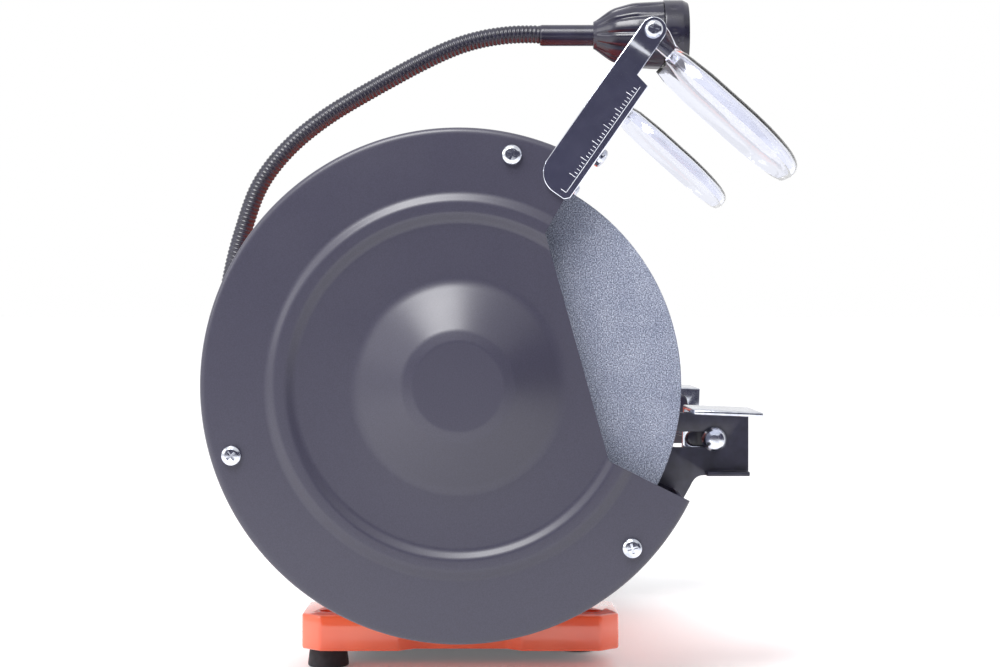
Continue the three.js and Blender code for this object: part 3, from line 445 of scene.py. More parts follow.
@finish("lathe_turned_steel")
def turned_steel(tree, place):
    # Mild steel faced in a lathe: fine rings left by the tool.
    rings = add_node(tree, "TexWave", {"Vector": place, "Scale": 1000 / 1.6 / TURN, "Distortion": 0.4},
                     wave_type="BANDS", bands_direction="X").outputs["Fac"]
    cloud = add_node(tree, "TexNoise", {"Vector": place, "Scale": 1000 / 6, "Detail": 3})
    colour = add_node(tree, "ValToRGB", {"Fac": cloud}, [(0.3, "85888f"), (0.7, "a9acb3")])
    relief = add_node(tree, "Bump", {"Height": rings, "Distance": 0.02 * MM, "Strength": 0.4})
    return {"Base Color": colour, "Metallic": 1.0, "Roughness": 0.34, "Normal": relief}


@finish("stacked_silicon_steel")
def laminations(tree, place):
    # Stacked silicon-steel sheets: hair lines across the shaft, drawn 1 mm apart so that they show.
    lines = add_node(tree, "TexWave", {"Vector": place, "Scale": 1000 / TURN},
                     wave_type="BANDS", bands_direction="X").outputs["Fac"]
    colour = add_node(tree, "ValToRGB", {"Fac": lines}, [(0.2, "4a4c50"), (0.6, "85888e")])
    relief = add_node(tree, "Bump", {"Height": lines, "Distance": 0.1 * MM, "Strength": 0.6})
    return {"Base Color": colour, "Metallic": 0.9, "Roughness": 0.5, "Normal": relief}


@finish("varnished_copper_wire")
def enamelled_copper(tree, place):
    # Varnished copper wire about 0.9 mm thick, wound close.
    turns = add_node(tree, "TexWave", {"Vector": place, "Scale": 1000 / 0.9 / TURN, "Distortion": 3.0},
                     wave_type="BANDS", bands_direction="DIAGONAL").outputs["Fac"]
    colour = add_node(tree, "ValToRGB", {"Fac": turns}, [(0.1, "5e2f16"), (0.7, "c07a45")])
    relief = add_node(tree, "Bump", {"Height": turns, "Distance": 0.3 * MM, "Strength": 0.8})
    return {"Base Color": colour, "Metallic": 0.7, "Roughness": 0.38, "Normal": relief}


@finish("moulded_black_rubber")
def moulded_rubber(tree, place):
    # Black rubber from a steel mould: matt, with a little bloom.
    bloom = add_node(tree, "TexNoise", {"Vector": place, "Scale": 1000 / 4, "Detail": 4})
    colour = add_node(tree, "ValToRGB", {"Fac": bloom}, [(0.3, "1b1b20"), (0.75, "2e2e35")])
    patch = add_node(tree, "TexNoise", {"Vector": place, "Scale": 1000 / 3, "Detail": 3})
    rough = add_node(tree, "MapRange", {"Value": patch, "To Min": 0.6, "To Max": 0.8})
    grain = add_node(tree, "TexNoise", {"Vector": place, "Scale": 1000 / 0.5, "Detail": 2})
    relief = add_node(tree, "Bump", {"Height": grain, "Distance": 0.04 * MM, "Strength": 0.5})
    return {"Base Color": colour, "Roughness": rough, "Normal": relief}


@finish("moulded_black_abs")
def moulded_abs(tree, place):
    # Black ABS from a polished mould: glossy, with faint flow marks.
    flow = add_node(tree, "TexNoise", {"Vector": place, "Scale": 1000 / 12, "Detail": 2})
    colour = add_node(tree, "ValToRGB", {"Fac": flow}, [(0.3, "1b1a28"), (0.7, "272638")])
    rub = add_node(tree, "TexNoise", {"Vector": place, "Scale": 1000 / 7, "Detail": 3})
    rough = add_node(tree, "MapRange", {"Value": rub, "To Min": 0.18, "To Max": 0.3})
    grain = add_node(tree, "TexNoise", {"Vector": place, "Scale": 1000 / 1.6, "Detail": 1})
    relief = add_node(tree, "Bump", {"Height": grain, "Distance": 0.015 * MM, "Strength": 0.4})
    return {"Base Color": colour, "Roughness": rough, "IOR": 1.54, "Normal": relief}


@finish("satin_pvc_sleeve")
def neck_sleeve(tree, place):
    # Soft black PVC over the spiral of the gooseneck: satin, dusty in its grooves.
    dust = add_node(tree, "TexNoise", {"Vector": place, "Scale": 1000 / 2.2, "Detail": 3})
    colour = add_node(tree, "ValToRGB", {"Fac": dust}, [(0.3, "171622"), (0.75, "292839")])
    rub = add_node(tree, "TexNoise", {"Vector": place, "Scale": 1000 / 4, "Detail": 3})
    rough = add_node(tree, "MapRange", {"Value": rub, "To Min": 0.24, "To Max": 0.36})
    return {"Base Color": colour, "Roughness": rough, "IOR": 1.53}


@finish("clear_polycarbonate")
def clear_polycarbonate(tree, place):
    # Moulded polycarbonate: a clear window with a cool cast and faint rub marks. Its index is set
    # below the plastic's own, so that the thin wall stays pale at its edges, and a coat gives the shine.
    rub = add_node(tree, "TexNoise", {"Vector": place, "Scale": 1000 / 6, "Detail": 3})
    rough = add_node(tree, "MapRange", {"Value": rub, "To Min": 0.02, "To Max": 0.07})
    return {"Base Color": linear("eef0fa"), "Roughness": rough, "IOR": 1.3, "Transmission Weight": 1.0,
            "Coat Weight": 0.4, "Coat Roughness": 0.04}


@finish("pebbled_lamp_glass")
def frosted_lens(tree, place):
    # Pressed lamp glass with a fine pebbled back.
    pebble = add_node(tree, "TexVoronoi", {"Vector": place, "Scale": 1000 / 1.5})
    relief = add_node(tree, "Bump", {"Height": pebble, "Distance": 0.2 * MM, "Strength": 0.6})
    return {"Base Color": linear("f4f6fb"), "Roughness": 0.12, "IOR": 1.5, "Transmission Weight": 0.85,
            "Normal": relief}


@finish("metallised_reflector")
def mirror_reflector(tree, place):
    # Vacuum-metallised plastic: a bright mirror with soft waves.
    cloud = add_node(tree, "TexNoise", {"Vector": place, "Scale": 1000 / 5, "Detail": 3})
    colour = add_node(tree, "ValToRGB", {"Fac": cloud}, [(0.3, "dfe1e6"), (0.7, "f7f8fa")])
    wave = add_node(tree, "TexNoise", {"Vector": place, "Scale": 1000 / 4, "Detail": 3})
    relief = add_node(tree, "Bump", {"Height": wave, "Distance": 0.05 * MM, "Strength": 0.4})
    return {"Base Color": colour, "Metallic": 1.0, "Roughness": 0.12, "Normal": relief}


@finish("rubbed_in_white_paint")
def scale_paint(tree, place):
    # Pale paint rubbed into the engraved scale.
    wear = add_node(tree, "TexNoise", {"Vector": place, "Scale": 1000 / 0.8, "Detail": 3})
    colour = add_node(tree, "ValToRGB", {"Fac": wear}, [(0.3, "b9bdc9"), (0.7, "eceef3")])
    return {"Base Color": colour, "Roughness": 0.45}


@finish("opal_light_table")
def studio_sweep(tree, place):
    # Opal acrylic light table: near-white and matt, with a faint light of its own that thins the shadows.
    cloud = add_node(tree, "TexNoise", {"Vector": place, "Scale": 1000 / 400, "Detail": 2})
    colour = add_node(tree, "ValToRGB", {"Fac": cloud}, [(0.3, "f6f6f8"), (0.7, "fbfbfc")])
    return {"Base Color": colour, "Roughness": 0.8, "Emission Color": linear("ffffff"),
            "Emission Strength": 0.12}


@finish("black_felt")
def black_cloth(tree, place):
    # Black felt on a studio flag: it gives bright metal something dark to reflect.
    nap = add_node(tree, "TexNoise", {"Vector": place, "Scale": 1000 / 60, "Detail": 2})
    colour = add_node(tree, "ValToRGB", {"Fac": nap}, [(0.3, "3a394a"), (0.7, "434255")])
    return {"Base Color": colour, "Roughness": 0.95}


# ---- how pieces stand in the frame

def stand_for(obj, material, *nodes):
    """The piece takes its finish and body, and hides the CAD nodes it stands for."""
    obj.data.materials.clear()
    obj.data.materials.append(material)
    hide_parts(*nodes)
    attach(obj, BODY_OF[nodes[0]])


def carried(obj, material, like):
    """An extra piece with a finish of its own, on the same body as a CAD node."""
    obj.data.materials.clear()
    obj.data.materials.append(material)
    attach(obj, BODY_OF[like])


def kept(node, material):
    """A CAD node that stays as it is, with a finish of its own."""
    obj = frame["nodes"][node]
    if obj.material_slots:
        for slot in obj.material_slots:
            slot.material = material
    else:
        obj.data.materials.append(material)


def both_hands(obj, name, material, node, matrix=WHEEL_UNIT, degrees=35):
    """Places a right-hand piece, mirrors it to the left, and lets both stand for their nodes."""
    placed(obj, matrix)
    smooth(obj, degrees)
    left = mirrored(obj, f"{name}_left")
    obj.name = f"{name}_right"
    stand_for(left, material, f"{node}_left")
    stand_for(obj, material, f"{node}_right")
    return left, obj


# ---- sizes and colours that a user would change

def millimetres(name, description, value):
    return bpy.props.FloatProperty(name=name, description=description, default=value * MM,
                                   min=0.0, unit="LENGTH", subtype="DISTANCE", precision=4)


def coloured(name, description, colour):
    parts = tuple(int(colour[i:i + 2], 16) / 255 for i in (0, 2, 4))
    return bpy.props.FloatVectorProperty(name=name, description=description, default=parts,
                                         size=3, min=0.0, max=1.0, subtype="COLOR_GAMMA")


class GrinderSizes(bpy.types.PropertyGroup):
    cover_rim: millimetres("Cover rim", "Radius of the rounded rim of each guard cover", 3.2)
    cover_dome: millimetres("Cover dome", "Radius that blends the hub dome into the cover", 12.0)
    casting_edge: millimetres("Casting edge", "Rounding of the base casting's edges", 1.4)
    sheet_edge: millimetres("Sheet edge", "Rounding of the bent steel's edges", 0.45)
    neck_pitch: millimetres("Neck pitch", "Distance between the ribs of the gooseneck", 2.1)
    neck_rib: millimetres("Neck rib", "Depth of the ribs of the gooseneck", 0.45)
    scale_pitch: millimetres("Scale pitch", "Distance between the marks on the shield arm", 1.75)
    lamp_groove: millimetres("Lamp groove", "Depth of the grooves along the lamp's bell", 1.1)


class GrinderColours(bpy.types.PropertyGroup):
    enamel: coloured("Enamel", "Gloss enamel of the castings", "ff6a3c")
    enamel_deep: coloured("Enamel, deep", "The enamel where it lies thicker", "f65a2e")
    guard_light: coloured("Guard, light", "Light speck of the guards' powder coat", "393848")
    guard_dark: coloured("Guard, dark", "Dark speck of the guards' powder coat", "2f2d3b")


# ---- base

class GRINDER_OT_base(bpy.types.Operator):
    """Base casting: notched pads, a pedestal with a saddle for the motor, and bolt holes"""
    bl_idname = "grinder.base"
    bl_label = "Base"

    def execute(self, context):
        edge = context.scene.grinder_sizes.casting_edge / MM
        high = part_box("base")[1]
        length, width = high.x / MM, high.y / MM
        quarter = [(length - 7, 21.5), (length, 29), (length, width - 9), (length - 9, width),
                   (56, width), (50, width - 6)]
        half = quarter + [(-x, y) for x, y in reversed(quarter)]
        plan = half + [(x, -y) for x, y in reversed(half)]
        base = eased(pulled("cast_base", [(x, y, 0) for x, y in plan], (0, 0, 17)), edge, 3)
        pedestal = eased(block("pedestal", (-60, -50, 6), (60, 50, high.z / MM)), 5, 4)
        combined(base, pedestal, "UNION")
        bored(base, HOUSING_RADIUS + 0.3, 0.4, (0, 0, SHAFT_Z * MM), (0, math.pi / 2, 0), 128)
        for low, top in (((-55, -45, -1), (55, 45, 48)), ((-72, -60, -1), (72, 60, 12)),
                         ((-78, -66, -1), (78, 66, 1.8)), ((-13, -52, 24), (13, -30, 44))):
            combined(base, block("core", low, top))
        corner = middle("foot_rear_right")
        for x in (-corner.x, corner.x):
            for y in (-corner.y, corner.y):
                bored(base, 4.2, 0.06, (x, y, 0))
        gland = middle("cord_gland")
        bored(base, 7, 0.03, (gland.x, 50 * MM, gland.z), (math.pi / 2, 0, 0))
        front = middle("foot_front_right") / MM
        for x in (-front.x, front.x):
            boss = turned("foot_boss", [(0, 0), (10, 0), (10, 14), (0, 14)], "Z", 48, (x, front.y, 0))
            combined(base, boss, "UNION")
        smooth(base, 30)
        stand_for(base, sprayed_enamel(), "base")
        kept("base_bottom_plate", black_paint())
        return {"FINISHED"}


class GRINDER_OT_feet(bpy.types.Operator):
    """Four rubber feet"""
    bl_idname = "grinder.feet"
    bl_label = "Feet"

    def execute(self, context):
        profile = fillet([(3.4, -8.9), (10, -8.9), (8.9, 0), (3.4, 0)], [0.8, 1.4, 0.8, 0.4])
        for row in ("front", "rear"):
            for hand in HANDS:
                node = f"foot_{row}_{hand}"
                place = middle(node) / MM
                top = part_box(node)[1].z / MM
                foot = turned(f"rubber_foot_{row}_{hand}", profile, "Z", 56, (place.x, place.y, top))
                stand_for(smooth(foot), moulded_rubber(), node)
        return {"FINISHED"}


class GRINDER_OT_switch(bpy.types.Operator):
    """Motor switch with its rocker, and the gland for the lead"""
    bl_idname = "grinder.switch"
    bl_label = "Switch and gland"

    def execute(self, context):
        for name, node, width, material in (
                ("switch_frame", "switch_body", 0.6, moulded_abs()),
                ("switch_rocking_key", "switch_rocker", 0.5, moulded_abs()),
                ("lead_gland", "cord_gland", 0.4, moulded_rubber())):
            stand_for(smooth(refined(name, node, width, 3)), material, node)
        return {"FINISHED"}


# ---- motor

def fluted(obj, count, depth, low, high, axis, centre, inner=0.0, sharp=2):
    """Presses grooves along a turned piece, between two places on its axis."""
    along, across = AXES[axis]
    side = along.cross(across)
    centre = Vector(centre) * MM
    for vertex in obj.data.vertices:
        offset = vertex.co - centre
        a = offset.dot(along) / MM
        u, v = offset.dot(across), offset.dot(side)
        radius = math.hypot(u, v) / MM
        if not low < a < high or radius < inner:
            continue
        ends = min(1.0, (a - low) / 3, (high - a) / 3)
        wave = 0.5 + 0.5 * math.cos(count * math.atan2(v, u))
        shrink = 1 - depth * ends * wave ** sharp / radius
        vertex.co += (across * u + side * v) * (shrink - 1)
    return obj


class GRINDER_OT_motor(bpy.types.Operator):
    """Motor housing, fluted end bells and what is sealed inside them"""
    bl_idname = "grinder.motor"
    bl_label = "Motor"

    def execute(self, context):
        centre = (0, 0, SHAFT_Z)
        half, radius = HOUSING_HALF, HOUSING_RADIUS
        bands = [(radius - 4, -half), (radius, -half)]
        for place in (-54, 54):
            for depth, side in ((0, -2), (0.9, -1), (0.9, 1), (0, 2)):
                bands.append((radius - depth, place + side))
        bands += [(radius, half), (radius - 4, half)]
        radii = [0.3, 0.6] + [0.8] * 8 + [0.6, 0.3]
        housing = turned("motor_shell", fillet(bands, radii, 3), "X", 128, centre)
        stand_for(smooth(housing), sprayed_enamel(), "motor_housing")
        s, f = BELL_START, BELL_FACE
        bell = [(71, s), (75, s), (75, s + 8), (62, f - 25), (48, f - 11), (48, f), (33.7, f), (33.7, f + 3.5),
                (14, f + 3.5), (14, f - 9.9), (23.8, f - 9.9), (23.8, f - 26.2), (28.5, f - 26.2),
                (28.5, f - 15), (42, f - 15), (57, f - 30), (71, s + 6)]
        radii = [0.3, 0.8, 6, 12, 7, 1.2, 0.5, 0.6, 0.4, 0, 0, 0, 0, 0, 3, 3, 0]
        turned_bell = turned("bell", fillet(bell, radii), "X", 192, centre)
        fluted(turned_bell, 16, 2.2, s + 9, f - 13, "X", centre, inner=50)
        both_hands(turned_bell, "cast_bell", sprayed_enamel(), "end_bell", Matrix(), 40)
        kept("stator_core", laminations())
        kept("stator_winding", enamelled_copper())
        kept("rotor_core", laminations())
        for hand in HANDS:
            kept(f"bearing_{hand}", turned_steel())
        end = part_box("shaft")[1].x / MM
        shaft = [(0, -end), (7, -end), (8, 1 - end), (8, -133.1), (10, -133.1), (10, -96), (12, -96), (12, 96),
                 (10, 96), (10, 133.1), (8, 133.1), (8, end - 1), (7, end), (0, end)]
        stand_for(smooth(turned("arbor", shaft, "X", 64, centre)), turned_steel(), "shaft")
        return {"FINISHED"}


# ---- wheels

class GRINDER_OT_wheels(bpy.types.Operator):
    """Abrasive wheels with their flanges and nuts"""
    bl_idname = "grinder.wheels"
    bl_label = "Wheels"

    def execute(self, context):
        wheel = fillet([(8.3, -10), (100, -10), (100, 10), (8.3, 10)], [0.3, 0.9, 0.9, 0.3])
        both_hands(turned("wheel", wheel, steps=160), "grit_wheel", vitrified_grit(), "wheel")
        flange = [(8.3, 11.3), (25, 11.3), (26, 10.3), (35, 10.3), (35, 12.5), (24, 15.3), (8.3, 15.3)]
        flange = fillet(flange, [0, 0.5, 0.3, 0.3, 1, 3, 0.3], 3)
        both_hands(turned("flange", flange), "outer_flange", turned_steel(), "wheel_flange_outer")
        inner = [(r, -x) for r, x in flange]
        both_hands(turned("flange", inner), "inner_flange", turned_steel(), "wheel_flange_inner")
        for hand in HANDS:
            nut = smooth(refined(f"arbor_nut_{hand}", f"shaft_nut_{hand}", 0.6, 2))
            stand_for(nut, turned_steel(), f"shaft_nut_{hand}")
        return {"FINISHED"}


# ---- guards

def arm_frame():
    return Matrix.Translation(Vector((0, *front_point(*ARM_CORNER))) * MM) @ Matrix.Rotation(
        math.radians(ARM_TILT), 4, "X")


def mouth_tool():
    """The prism that opens a guard where the work meets the wheel."""
    points = [front_point(*corner) for corner in MOUTH]
    return pulled("mouth", [(-60, y, z) for y, z in points], (120, 0, 0))


class GRINDER_OT_guards(bpy.types.Operator):
    """Sheet guards round the wheels, with tabs for the covers and an ear for the arm's screw"""
    bl_idname = "grinder.guards"
    bl_label = "Guards"

    def execute(self, context):
        front = GUARD_HALF - GUARD_SHEET - 0.3
        inner = GUARD_WALL - GUARD_SHEET
        profile = [(34, -GUARD_HALF), (GUARD_WALL, -GUARD_HALF), (GUARD_WALL, front), (inner, front),
                   (inner, GUARD_SHEET - GUARD_HALF), (34, GUARD_SHEET - GUARD_HALF)]
        guard = turned("guard", fillet(profile, [0.3, 3.5, 0.5, 0.5, 1.6, 0.3]), steps=160)
        combined(guard, mouth_tool())
        for radius, angle in COVER_SCREWS:
            tab = eased(block("tab", (front - 2, -7, radius - 6), (front, 7, GUARD_WALL - 1)), 0.4)
            placed(tab, Matrix.Rotation(math.radians(90 - angle), 4, "X"))
            combined(guard, tab, "UNION")
        ear = eased(block("ear", (-12, 1.8, 16), (12, 3.8, 36)), 0.8, 3)
        root = block("root", (-12, 1.8, 15.5), (12, 7.5, 18.5))
        nut = fillet([(0, -1.8), (6, -1.8), (6, -7.8), (0, -7.8)], [0, 0.4, 1, 0])
        boss = turned("boss", nut, "Y", 40, (0, 0, CLAMP_ALONG))
        for part in (root, boss):
            combined(ear, part, "UNION")
        combined(guard, placed(ear, arm_frame()), "UNION")
        both_hands(guard, "sheet_guard", powder_coat(), "guard_body")
        return {"FINISHED"}


class GRINDER_OT_covers(bpy.types.Operator):
    """Pressed covers of the guards: a domed hub, a raised bead and a rounded rim"""
    bl_idname = "grinder.covers"
    bl_label = "Guard covers"

    def execute(self, context):
        sizes = context.scene.grinder_sizes
        rim, dome = sizes.cover_rim / MM, sizes.cover_dome / MM
        f, t, r = GUARD_HALF, GUARD_SHEET, GUARD_RADIUS
        hub, brow, bead = f + 13, f + 11.8, f + 2.2
        profile = [(0, hub), (20, hub), (25, brow), (46, f), (73, f), (76.5, bead), (81.9, bead), (85.4, f),
                   (r, f), (r, f - COVER_LIP), (r - t, f - COVER_LIP), (r - t, f - t), (46, f - t),
                   (25, brow - t), (20, hub - t), (0, hub - t)]
        radii = [0, 8, 8, dome, 5, 4, 4, 5, rim, 0.5, 0.5, 1.5, dome, 8, 8, 0]
        cover = combined(turned("cover", fillet(profile, radii, 6), steps=192), mouth_tool())
        both_hands(cover, "pressed_cover", powder_coat(), "guard_cover", degrees=30)
        return {"FINISHED"}


# ---- screws

def pan_screw(head, height, shank, length, turn):
    """A cross-recessed pan head that faces +X, with the seat of its head at the origin."""
    top = 0.3 + height
    profile = [(0, -length), (shank, -length), (shank, 0.3), (head, 0.3), (head, 0.3 + 0.5 * height),
               (0.72 * head, 0.3 + 0.9 * height), (0, top)]
    screw = turned("screw", fillet(profile, [0, 0.3, 0, 0.25, 0.9, 2, 0], 4), steps=40)
    for wide, narrow in ((2.3, 0.5), (0.5, 2.3)):
        tool = block("recess", (top - 1.7, -wide, -narrow), (top + 1, wide, narrow))
        placed(tool, Matrix.Rotation(math.radians(turn), 4, "X"))
        combined(screw, tool)
    return screw


class GRINDER_OT_screws(bpy.types.Operator):
    """Cross-recessed screws of the covers, the arms and the shields' pivots"""
    bl_idname = "grinder.screws"
    bl_label = "Screws"

    def execute(self, context):
        for i, (radius, angle) in enumerate(COVER_SCREWS, 1):
            y, z = front_point(radius, angle)
            screw = pan_screw(4.45, 2.8, 2, 8, 25 * i)
            both_hands(screw, f"pan_screw_{i}", zinc_plate(), f"cover_screw_{i}",
                       WHEEL_UNIT @ Matrix.Translation(Vector((GUARD_HALF, y, z)) * MM))
        forward = Matrix.Translation((0, 0, CLAMP_ALONG * MM)) @ Matrix.Rotation(-math.pi / 2, 4, "Z")
        both_hands(pan_screw(4.4, 3, 2.5, 9, 40), "clamp_screw", zinc_plate(), "arm_clamp_screw",
                   WHEEL_UNIT @ arm_frame() @ forward)
        pivot = Matrix.Translation(Vector((ARM_FACE - 4, *PIVOT)) * MM)
        both_hands(pan_screw(4, 2.6, 2, 8, 70), "hinge_screw", zinc_plate(), "pivot_screw",
                   WHEEL_UNIT @ arm_frame() @ pivot)
        return {"FINISHED"}


# ---- tool rests

class GRINDER_OT_rests(bpy.types.Operator):
    """Tool rests with their brackets, carriage bolts and lobed knobs"""
    bl_idname = "grinder.rests"
    bl_label = "Tool rests"

    def execute(self, context):
        edge = context.scene.grinder_sizes.sheet_edge / MM
        for hand in HANDS:
            stand_for(smooth(refined(f"bent_bracket_{hand}", f"rest_bracket_{hand}", edge)),
                      black_paint(), f"rest_bracket_{hand}")
            stand_for(smooth(refined(f"rest_plate_{hand}", f"tool_rest_{hand}", edge)),
                      zinc_plate(), f"tool_rest_{hand}")
        face = -GUARD_HALF
        end = face - 18.3
        at_bolt = WHEEL_UNIT @ Matrix.Translation(Vector((0, -118.3, -26.6)) * MM)
        dome = [(0, end), (2.4, end), (3, end + 0.6), (3, face), (5.8, face), (5.8, face + 0.9),
                (4.4, face + 2.5), (2.3, face + 3.3), (0, face + 3.5)]
        bolt = turned("bolt", fillet(dome, [0, 0, 0, 0, 0.2, 0.8, 2, 2, 0], 4), steps=48)
        both_hands(bolt, "carriage_bolt", zinc_plate(), "rest_bolt", at_bolt)
        count = 96
        outline = []
        for i in range(count):
            angle = i * 2 * math.pi / count
            radius = 11.7 + 1.3 * math.cos(6 * angle)
            outline.append((face - 5.3, radius * math.cos(angle), radius * math.sin(angle)))
        knob = eased(pulled("knob", outline, (-12, 0, 0)), 1.4, 4, 50)
        both_hands(knob, "lobed_knob", moulded_abs(), "rest_knob", at_bolt)
        return {"FINISHED"}


# ---- shield arms and eye shields

class GRINDER_OT_arms(bpy.types.Operator):
    """Plated arms of the eye shields, with their engraved scales"""
    bl_idname = "grinder.arms"
    bl_label = "Shield arms"

    def execute(self, context):
        sizes = context.scene.grinder_sizes
        pitch = sizes.scale_pitch / MM
        for hand in HANDS:
            node = f"shield_arm_{hand}"
            arm = refined(f"plated_arm_{hand}", node, sizes.sheet_edge / MM, 5)
            modify(smooth(arm, 16), "WEIGHTED_NORMAL", weight=100, keep_sharp=True)
            stand_for(arm, bright_chrome(), node)
        face = ARM_FACE
        marks = []
        for i in range(28):
            length = 3.2 if i % 5 == 0 else 1.6
            z = 11 + i * pitch
            marks.append(block("mark", (face - 0.05, 3.4, z - 0.13), (face + 0.05, 3.4 + length, z + 0.13)))
        line = block("line", (face - 0.05, 2.7, 3.0), (face + 0.05, 2.95, 60))
        foot = block("foot", (face - 0.05, 2.7, 3.0), (face + 0.05, 5.6, 3.3))
        scale = joined(line, foot, *marks)
        placed(scale, WHEEL_UNIT @ arm_frame())
        left = mirrored(scale, "arm_scale_left")
        scale.name = "arm_scale_right"
        carried(scale, scale_paint(), "shield_arm_right")
        carried(left, scale_paint(), "shield_arm_left")
        return {"FINISHED"}


def lofted(name, rings, capped=True):
    """A tube through rings of equal count, begun as a grid."""
    rows, count = len(rings), len(rings[0])
    bpy.ops.object.select_all(action="DESELECT")
    bpy.ops.mesh.primitive_grid_add(x_subdivisions=count, y_subdivisions=rows - 1, size=1, location=(0, 0, 0))
    obj = bpy.context.active_object
    obj.name = name
    for vertex in obj.data.vertices:
        i = round((vertex.co.x + 0.5) * count) % count
        j = round((vertex.co.y + 0.5) * (rows - 1))
        vertex.co = Vector(rings[j][i]) * MM
    editing(obj)
    bpy.ops.mesh.remove_doubles(threshold=0.005 * MM)
    if capped:
        bpy.ops.mesh.select_all(action="SELECT")
        bpy.ops.mesh.fill_holes(sides=0)
    outwards()
    done()
    return obj


def tray_ring(inset, z, start=6.0):
    """One level of the eye shield: narrow at the hinge end, with two wide round corners at the far end."""
    half, far, root = 42 - inset, -89.5 + 1.6 * inset, 26 - inset
    corner = 28 - 0.45 * inset
    taper = [(root, SHIELD_OPEN), (root + 0.62 * (half - root), -19), (half, -33)]
    points = [(root, start), (0, start)]
    points += [(-x, y) for x, y in [(root, start), *taper]]
    for centre_x, first in ((corner - half, 180), (half - corner, 270)):
        for k in range(15):
            angle = math.radians(first + 90 * k / 14)
            points.append((centre_x + corner * math.cos(angle), far + corner + corner * math.sin(angle)))
    points += reversed(taper)
    return [(x, y, z) for x, y in points]


class GRINDER_OT_shields(bpy.types.Operator):
    """Clear eye shields, each a shallow tray open at its hinge, with a lug"""
    bl_idname = "grinder.shields"
    bl_label = "Eye shields"

    def execute(self, context):
        crown = 2.2
        levels = [(0, -7.2), (0, -4.4), (0.4, -2.6), (1.2, -1.2), (2.4, -0.2), (4.2, 0.5), (7, 1.0),
                  (11, 1.4), (16, 1.8), (21, 2.1), (24, crown)]
        shield = lofted("shield", [tray_ring(*level) for level in levels], capped=False)
        editing(shield, "DESELECT")
        done()
        for vertex in shield.data.vertices:
            vertex.select = vertex.co.z > (crown - 0.01) * MM
        bpy.ops.object.mode_set(mode="EDIT")
        bpy.ops.mesh.edge_face_add()
        bpy.ops.mesh.select_all(action="SELECT")
        bpy.ops.mesh.bisect(plane_co=(0, SHIELD_OPEN * MM, 0), plane_no=(0, 1, 0), clear_outer=True)
        outwards()
        done()
        modify(shield, "SOLIDIFY", thickness=1.8 * MM, offset=-1, use_even_offset=True)
        outline = [(-17.5, 1.3), (-17.5, -5.2), (0, -5.7)]
        turns = [math.radians(15 * k) for k in range(1, 12)]
        outline += [(5.7 * math.sin(a), -5.7 * math.cos(a)) for a in turns]
        outline += [(0, 5.6), (-6, 4.2), (-12, 1.7)]
        lug = eased(pulled("lug", [(18.5, y, z) for y, z in outline], (3, 0, 0)), 0.5, 2)
        combined(shield, lug, "UNION")
        tilt = Matrix.Rotation(math.radians(SHIELD_TILT - ARM_TILT), 4, "X")
        place = WHEEL_UNIT @ arm_frame() @ Matrix.Translation(Vector((0, *PIVOT)) * MM) @ tilt
        both_hands(shield, "clear_shield", clear_polycarbonate(), "eye_shield", place, 40)
        return {"FINISHED"}


# ---- lamp

NECK_START = (90.0, 90.0)
NECK_LINE = [(0, 0), (11, 1), (22, 8), (29.5, 20), (33.5, 36), (34.2, 53), (32.8, 71), (29.8, 89),
             (26.2, 104.5), (21, 121.2), (17.6, 131.2), (11.6, 142), (3.2, 152.3), (-6, 161.3),
             (-20.6, 172.4), (-36.4, 182), (-54.3, 192.1), (-72.2, 201.6), (-90.1, 209.4), (-107.9, 213.5),
             (-122.2, 214.6), (-131.5, 214.2)]
NECK_HINGES = (9, 15)
NECK_RADIUS = 4.7
LAMP_AT = (0, -40.3, 303.9)


def eased_path(path, reach):
    """Each point moved to the mean of its neighbours, fewer of them towards the ends."""
    sums = [Vector((0, 0))]
    for point in path:
        sums.append(sums[-1] + point)
    result = []
    for i in range(len(path)):
        span = min(reach, i, len(path) - 1 - i)
        result.append((sums[i + span + 1] - sums[i - span]) / (2 * span + 1))
    return result


def neck_path():
    """Points about 0.1 mm apart on a smooth curve through the neck's line, with the run of each."""
    points = [Vector((NECK_START[0] + y, NECK_START[1] + z)) for y, z in NECK_LINE]
    ends = [2 * points[0] - points[1], *points, 2 * points[-1] - points[-2]]
    path = [points[0]]
    for i in range(1, len(ends) - 2):
        a, b, c, d = ends[i - 1:i + 3]
        steps = max(2, round((c - b).length / 0.1))
        for k in range(1, steps + 1):
            t = k / steps
            path.append(0.5 * (2 * b + (c - a) * t + (2 * a - 5 * b + 4 * c - d) * t * t
                               + (3 * b - a - 3 * c + d) * t ** 3))
    path = eased_path(path, 90)
    runs = [0.0]
    for before, after in zip(path, path[1:]):
        runs.append(runs[-1] + (after - before).length)
    return path, runs


def neck_length(name, path, runs, start, end, pitch, depth):
    """One length of ribbed sleeve between two runs of the path."""
    rings = []
    sides = 18
    step = pitch / 5
    count = round((end - start) / step)
    index = 0
    for k in range(count + 1):
        run = start + (end - start) * k / count
        while index < len(runs) - 2 and runs[index + 1] < run:
            index += 1
        here = path[index]
        along = (path[min(index + 6, len(path) - 1)] - path[max(index - 6, 0)]).normalized()
        across = Vector((-along.y, along.x))
        radius = NECK_RADIUS - depth * (0.5 - 0.5 * math.cos(2 * math.pi * run / pitch)) ** 2
        ring = []
        for s in range(sides):
            angle = 2 * math.pi * s / sides
            offset = across * radius * math.sin(angle)
            ring.append((radius * math.cos(angle), here.x + offset.x, here.y + offset.y))
        rings.append(ring)
    return smooth(lofted(name, rings), 60)


